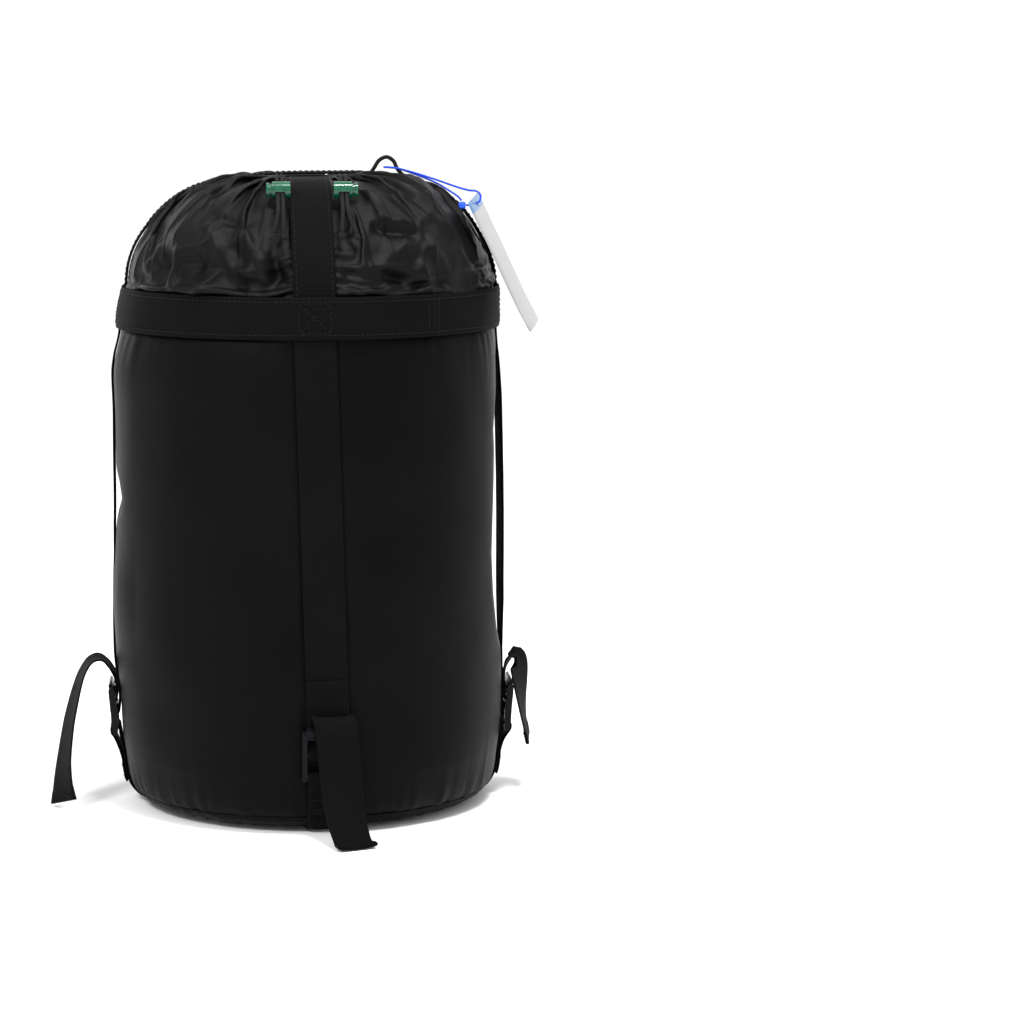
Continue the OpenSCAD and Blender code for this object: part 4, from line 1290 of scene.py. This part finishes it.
# ---------------------------- the straps under the base and round the bars
def anchor_loop(k):
    """Up from the foot, round the lock's anchor bar and back down to the base strap."""
    r0 = BODY_R + GAP + WEB_T / 2
    lean, bz = BAR_OFF[k], BAR_Z[k]
    bar = (LOCK_R[k] + BAR_N, bz)
    top = bz - 0.0022
    p = []
    if lean > 0:
        p += [(r0 + lean * 0.45, FOOT_Z + 0.002), (r0 + lean * 0.75, (FOOT_Z + 0.002 + top) / 2)]
    p += [(r0 + lean, top)]
    p += arc2(bar, 0.0027, 180, 0, 10)
    p += [(bar[0] + 0.0023, bz - 0.0024), (bar[0] + 0.0005, bz - 0.005)]
    if lean > 0:
        p += [(r0 + lean * 0.7 + WEB_T + 0.0005, FOOT_Z + 0.0025)]
    return p + leaning(foot(0.001 + WEB_T + 0.0002, -24, -2, 10), lean)[::-1]


def leaning(path, lean):
    """The lower corner moved out where the strap starts towards its bar."""
    return [(r + lean * 0.36 * clamp((z - 0.008) / 0.024), z) for r, z in path]


def base_half(k, rise):
    """From near the middle of the base out to a lock. rise lifts it over the other strap."""
    low = [(r, WEB_T / 2 + rise) for r in (0.004, 0.010, 0.015)]
    low += [(r, WEB_T / 2) for r in (0.020, 0.040, 0.060)]
    return low + leaning(foot(0.001, -90, 0, 22), BAR_OFF[k]) + anchor_loop(k)


for (a, b), angle, rise, name in (((0, 2), 3, 0.0, "front_back"), ((1, 3), 90, 0.0015, "left_right")):
    path = [(-r, z) for r, z in base_half(b, rise)[::-1]] + base_half(a, rise)
    pts = stand(path, angle, 0.0014)
    o = ribbon("base_strap_" + name + "_webbing", pts, across_of(angle), seed=20 + angle)
    use(o, "sack", "webbing", "base_strap_" + name)
runs = []
for k in range(4):
    q = leaning(foot(0.001 + WEB_T * 1.5 + 0.0002, -23, -4, 6), BAR_OFF[k])
    for r, z in (q[1], q[2], q[5]):
        n = unit(np.array([(r - FOOT_X) / (BODY_R - FOOT_X), ((z - FOOT_Z) / (FOOT_Z - BASE_Z)) ** 3]))
        p = place(SIDE_A[k], [(x, r, z) for x in (-STITCH_IN, 0, STITCH_IN)])
        m = place(SIDE_A[k], [(0, n[0], n[1])] * 3)
        runs.append((p, m))
use(stitches("base_strap_bar_tacks", runs, pitch=0.0014, length=0.0022, r=0.0003), "sack", "webbing")


# ---------------------------- the webbing in the locks, and its loose ends
TAIL_STEP = 0.0016
FOLDED = 1.85             # a tail's end is this many times as thick
# a loose tail's way down: (across, out from the lock's inner face, height) in mm, and its turn in degrees
TAILS = [
    [(0, 2.3, 65.4, 0), (0, 3.2, 69.5, 0), (1.0, 6.4, 73.0, 0), (2.2, 10.6, 73.2, 0), (3.2, 13.8, 69.0, 0),
     (4.0, 15.2, 60.0, 1), (5.0, 16.0, 46.0, 3), (6.2, 17.6, 31.0, 7), (7.8, 22.0, 16.0, 14),
     (9.8, 29.0, 6.0, 25), (11.6, 35.6, 2.0, 33), (13.3, 41.1, 1.2, 39)],
    [(0, 6.3, 72.4, 0), (0, 7.2, 77.5, -6), (0.3, 9.2, 83.2, -16), (0.6, 12.2, 86.4, -26),
     (1.2, 15.0, 84.8, -30), (1.8, 16.6, 79.0, -30), (2.6, 17.6, 68.0, -24), (3.4, 18.6, 56.0, -16),
     (4.4, 20.2, 44.0, -10), (5.6, 22.6, 32.0, -8)],
    [(0, 2.3, 68.4, 0), (0, 3.2, 72.5, 0), (-0.4, 6.4, 76.0, 0), (-1.2, 10.6, 76.2, 0),
     (-2.0, 13.8, 72.0, -2), (-2.8, 15.4, 62.0, -4), (-4.0, 16.4, 47.0, -6), (-5.6, 18.6, 31.0, -9),
     (-7.4, 23.0, 16.0, -14), (-9.6, 30.0, 6.0, -20), (-11.6, 37.4, 2.0, -25), (-13.4, 44.0, 1.2, -28)],
    [(0, 6.3, 74.4, 0), (0, 7.8, 79.5, 0), (1.0, 11.4, 86.0, 1), (2.6, 16.6, 90.4, 3), (4.4, 22.6, 89.2, 5),
     (6.4, 27.4, 82.6, 8), (8.8, 31.0, 73.0, 11), (12.4, 34.2, 60.5, 14), (17.4, 37.2, 45.0, 16),
     (23.0, 39.4, 29.0, 20), (28.4, 40.0, 15.0, 28), (31.6, 39.6, 5.4, 38)],
]


def wrap_path(k):
    """The side strap's webbing through its lock: down behind, round the middle bar and up in front."""
    inner = [(0.0007, START), (0.0007, 0.021), (0.0007, 0.016)]
    turn = arc2((BAR_N, 0.013), 0.0027, 180, 390, 16)
    outer = [(0.0044, 0.0172), (0.0031, 0.0186), (0.00245, 0.0204), (0.0023, 0.023), (0.0023, 0.0284)]
    return [(LOCK_R[k] + r, BAR_Z[k] + z) for r, z in inner + turn + outer]


for k, side in enumerate(SIDES):
    pts = stand(wrap_path(k), SIDE_A[k], 0.0009)
    o = ribbon("lock_webbing_" + side, pts, across_of(SIDE_A[k]), seed=30 + k)
    use(o, "lock_" + side, "webbing", "strap_wrap_" + side)
    way = [(x * MM, LOCK_R[k] - BAR_OFF[k] + out * MM, z * MM, turn) for x, out, z, turn in TAILS[k]]
    t = smooth_path(way, TAIL_STEP)
    t[:, 2] = np.maximum(t[:, 2], 0.0024)          # clear of the floor
    pts = place(SIDE_A[k], t[:, :3])
    ac = np.array([across_of(SIDE_A[k] + q) for q in t[:, 3]])
    # the end is turned back on itself and sewn down
    thick = np.ones(len(pts))
    last = max(4, int(0.009 / TAIL_STEP))
    thick[-last:] = FOLDED
    thick[-last - 1] = 1.4
    cup = 0.0009 if k in (0, 2) else 0.0005
    o = ribbon("strap_tail_" + side + "_webbing", pts, ac, seed=40 + k, cup=cup, thick=thick)
    use(o, "tail_" + side, "webbing", "strap_tail_" + side)
    m = np.cross(tangents(pts), unit(ac))
    i = len(pts) - last + 1
    aa = unit(ac[i])
    runs = []
    for sgn in (-1, 1):
        p0 = pts[i] + m[i] * sgn * WEB_T * 0.5 * FOLDED
        runs.append((np.array([p0 + aa * x for x in (-STITCH_IN, 0, STITCH_IN)]), np.array([m[i] * sgn] * 3)))
    o = stitches("strap_tail_" + side + "_stitches", runs, pitch=0.0026, length=0.0019)
    use(o, "tail_" + side, "webbing")


# ---------------------------- the CAD's moulded parts, rounded and finished
def moulded(names, mat, width):
    """Gives CAD nodes their material, and rounds their sharp edges."""
    for n in names:
        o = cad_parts[n]
        for s in o.material_slots:
            s.material = mat
        edge_bevel(o, width, 3, 32).harden_normals = False


moulded(["ladder_lock_" + s for s in SIDES], BUCKLE, 0.0005)
moulded(lock_nodes["right"] + lock_nodes["left"], GREEN, 0.00035)


# ---------------------------- the hang tag
TAG_LEAN = math.radians(25)
TAG_C = np.array([CROWN_X, -0.0275, CROWN_Z])
TAG_X = np.array([math.cos(TAG_LEAN), 0, math.sin(TAG_LEAN)])      # out of the card's face
TAG_Z = np.array([-math.sin(TAG_LEAN), 0, math.cos(TAG_LEAN)])     # up the card
TAG_Y = np.array([0, 1.0, 0])
TAG_TURN = 0.24           # how far out the card comes across its width, so that it lies along the crown
TAG_W, TAG_H, TAG_T, TAG_TOP = 0.045, 0.088, 0.0006, 0.0275
TAG_CORNER = 0.003
HOLE_R, HOLE_Z = 0.0019, TAG_TOP - 0.0045


def tag_card():
    """The card: its outline and hole filled, cut across so that it can bend, and laid along the crown."""
    x, low, high = TAG_W / 2 - TAG_CORNER, TAG_TOP - TAG_H + TAG_CORNER, TAG_TOP - TAG_CORNER
    outline = []
    for c, a0 in (((x, high), 0), ((-x, high), 90), ((-x, low), 180), ((x, low), 270)):
        outline += arc2(c, TAG_CORNER, a0, a0 + 90, 6)
    bm = bmesh.new()
    e = []
    for rim in (outline, arc2((0.0, HOLE_Z), HOLE_R, 0, 360, 20)[:-1]):
        ring = [bm.verts.new((x, z, 0)) for x, z in rim]
        e += [bm.edges.new((ring[i], ring[(i + 1) % len(ring)])) for i in range(len(ring))]
    bmesh.ops.triangle_fill(bm, edges=e, use_beauty=True)
    cuts = [((0, TAG_TOP - TAG_H + TAG_H * (i + 1) / 15, 0), (0, 1, 0)) for i in range(14)]
    cuts += [((-TAG_W / 2 + TAG_W * (i + 1) / 7, 0, 0), (1, 0, 0)) for i in range(6)]
    for co, no in cuts:
        bmesh.ops.bisect_plane(bm, geom=bm.verts[:] + bm.edges[:] + bm.faces[:], plane_co=co, plane_no=no)
    layer = bm.loops.layers.uv.new("UVMap")
    for f in bm.faces:
        if f.normal.z < 0:
            f.normal_flip()
        for l in f.loops:
            l[layer].uv = (l.vert.co.x + TAG_W / 2, l.vert.co.y - (TAG_TOP - TAG_H))
    for v in bm.verts:
        x, z = v.co.x, v.co.y
        s = (z - HOLE_Z) / TAG_H
        d = CROWN_R + 0.0037 + TAG_T / 2 + 0.0010 * s * s - 0.0005 * math.sin(s * 7) * abs(s) - 0.8 * x * x
        v.co = TAG_C + TAG_X * (d + TAG_TURN * x) + TAG_Y * x + TAG_Z * z
    me = bpy.data.meshes.new("hang_tag_blank_card")
    bm.to_mesh(me)
    bm.free()
    for f in me.polygons:
        f.use_smooth = True
    me.materials.append(CARD)
    o = link("hang_tag_blank_card", me)
    thicken(o, TAG_T, 0)
    edge_bevel(o, 0.00012, 2, 50)
    return o


use(tag_card(), "hang_tag", "tag_card", "hang_tag_card")


def seal():
    """A push-in string seal: a rounded block with a grip groove and a collar."""
    middle, sx, sy, sz = np.array([0.0942, -0.028, 0.374]), 0.0022, 0.0028, 0.0023
    m, n = 28, 32
    V = np.zeros((m, n, 3))
    for i in range(m):
        u = -math.pi / 2 + math.pi * i / (m - 1)
        for j in range(n):
            v = 2 * math.pi * j / n
            cu, su = math.cos(u), math.sin(u)
            groove = 1 - sum(0.10 * math.exp(-((su - mid) / 0.12) ** 2) for mid in (0.35, -0.35))
            wide = power(cu, 0.4) * groove
            V[i, j] = middle + [sx * wide * power(math.cos(v), 0.5), sy * power(su, 0.6),
                                sz * wide * power(math.sin(v), 0.5)]
    return weld(grid("tag_seal_block", V, np.zeros((m, n + 1, 2)), SEAL), 1e-5)


seal_obj = use(seal(), "lid", "tag_seal", "hang_tag_seal")


# ---------------------------- floor and light
def floor():
    m = Mat("studio_floor")
    n = m.noise(m.coord(), 6, 3)
    m.color(m.tone(n, (0.93, 0.93, 0.93), (0.945, 0.945, 0.945)))
    m.rough(0.55)
    m.set(Specular_IOR_Level=0.25)
    verts = [(-30, -30, 0), (30, -30, 0), (30, 30, 0), (-30, 30, 0)]
    o = build("studio_floor", verts, [(0, 1, 2, 3)], m.m, smooth=False)


floor()
world = bpy.data.worlds.new("studio")
scene.world = world
world.use_nodes = True
sky = world.node_tree.nodes["Background"]
sky.inputs[0].default_value = (1, 1, 1, 1)
sky.inputs[1].default_value = 1.1


def area(name, loc, target, size, power, size_y=None):
    light = bpy.data.lights.new(name, "AREA")
    light.size, light.energy = size, power
    if size_y:
        light.shape, light.size_y = "RECTANGLE", size_y
    o = link(name, light)
    o.location = loc
    o.rotation_euler = (Vector(target) - Vector(loc)).to_track_quat("-Z", "Y").to_euler()
    o.visible_camera = False


area("key", (-1.1, -1.5, 1.7), (0, 0, 0.3), 0.5, 42)
area("top", (0.3, -0.6, 1.9), (0, 0, 0.3), 0.45, 42)
area("left_edge", (-1.0, 1.9, 0.6), (0, 0, 0.22), 0.4, 3.5, 1.2)
area("right_edge", (1.0, 1.9, 0.6), (0, 0, 0.22), 0.4, 4, 1.2)
scene.view_settings.view_transform = "Standard"
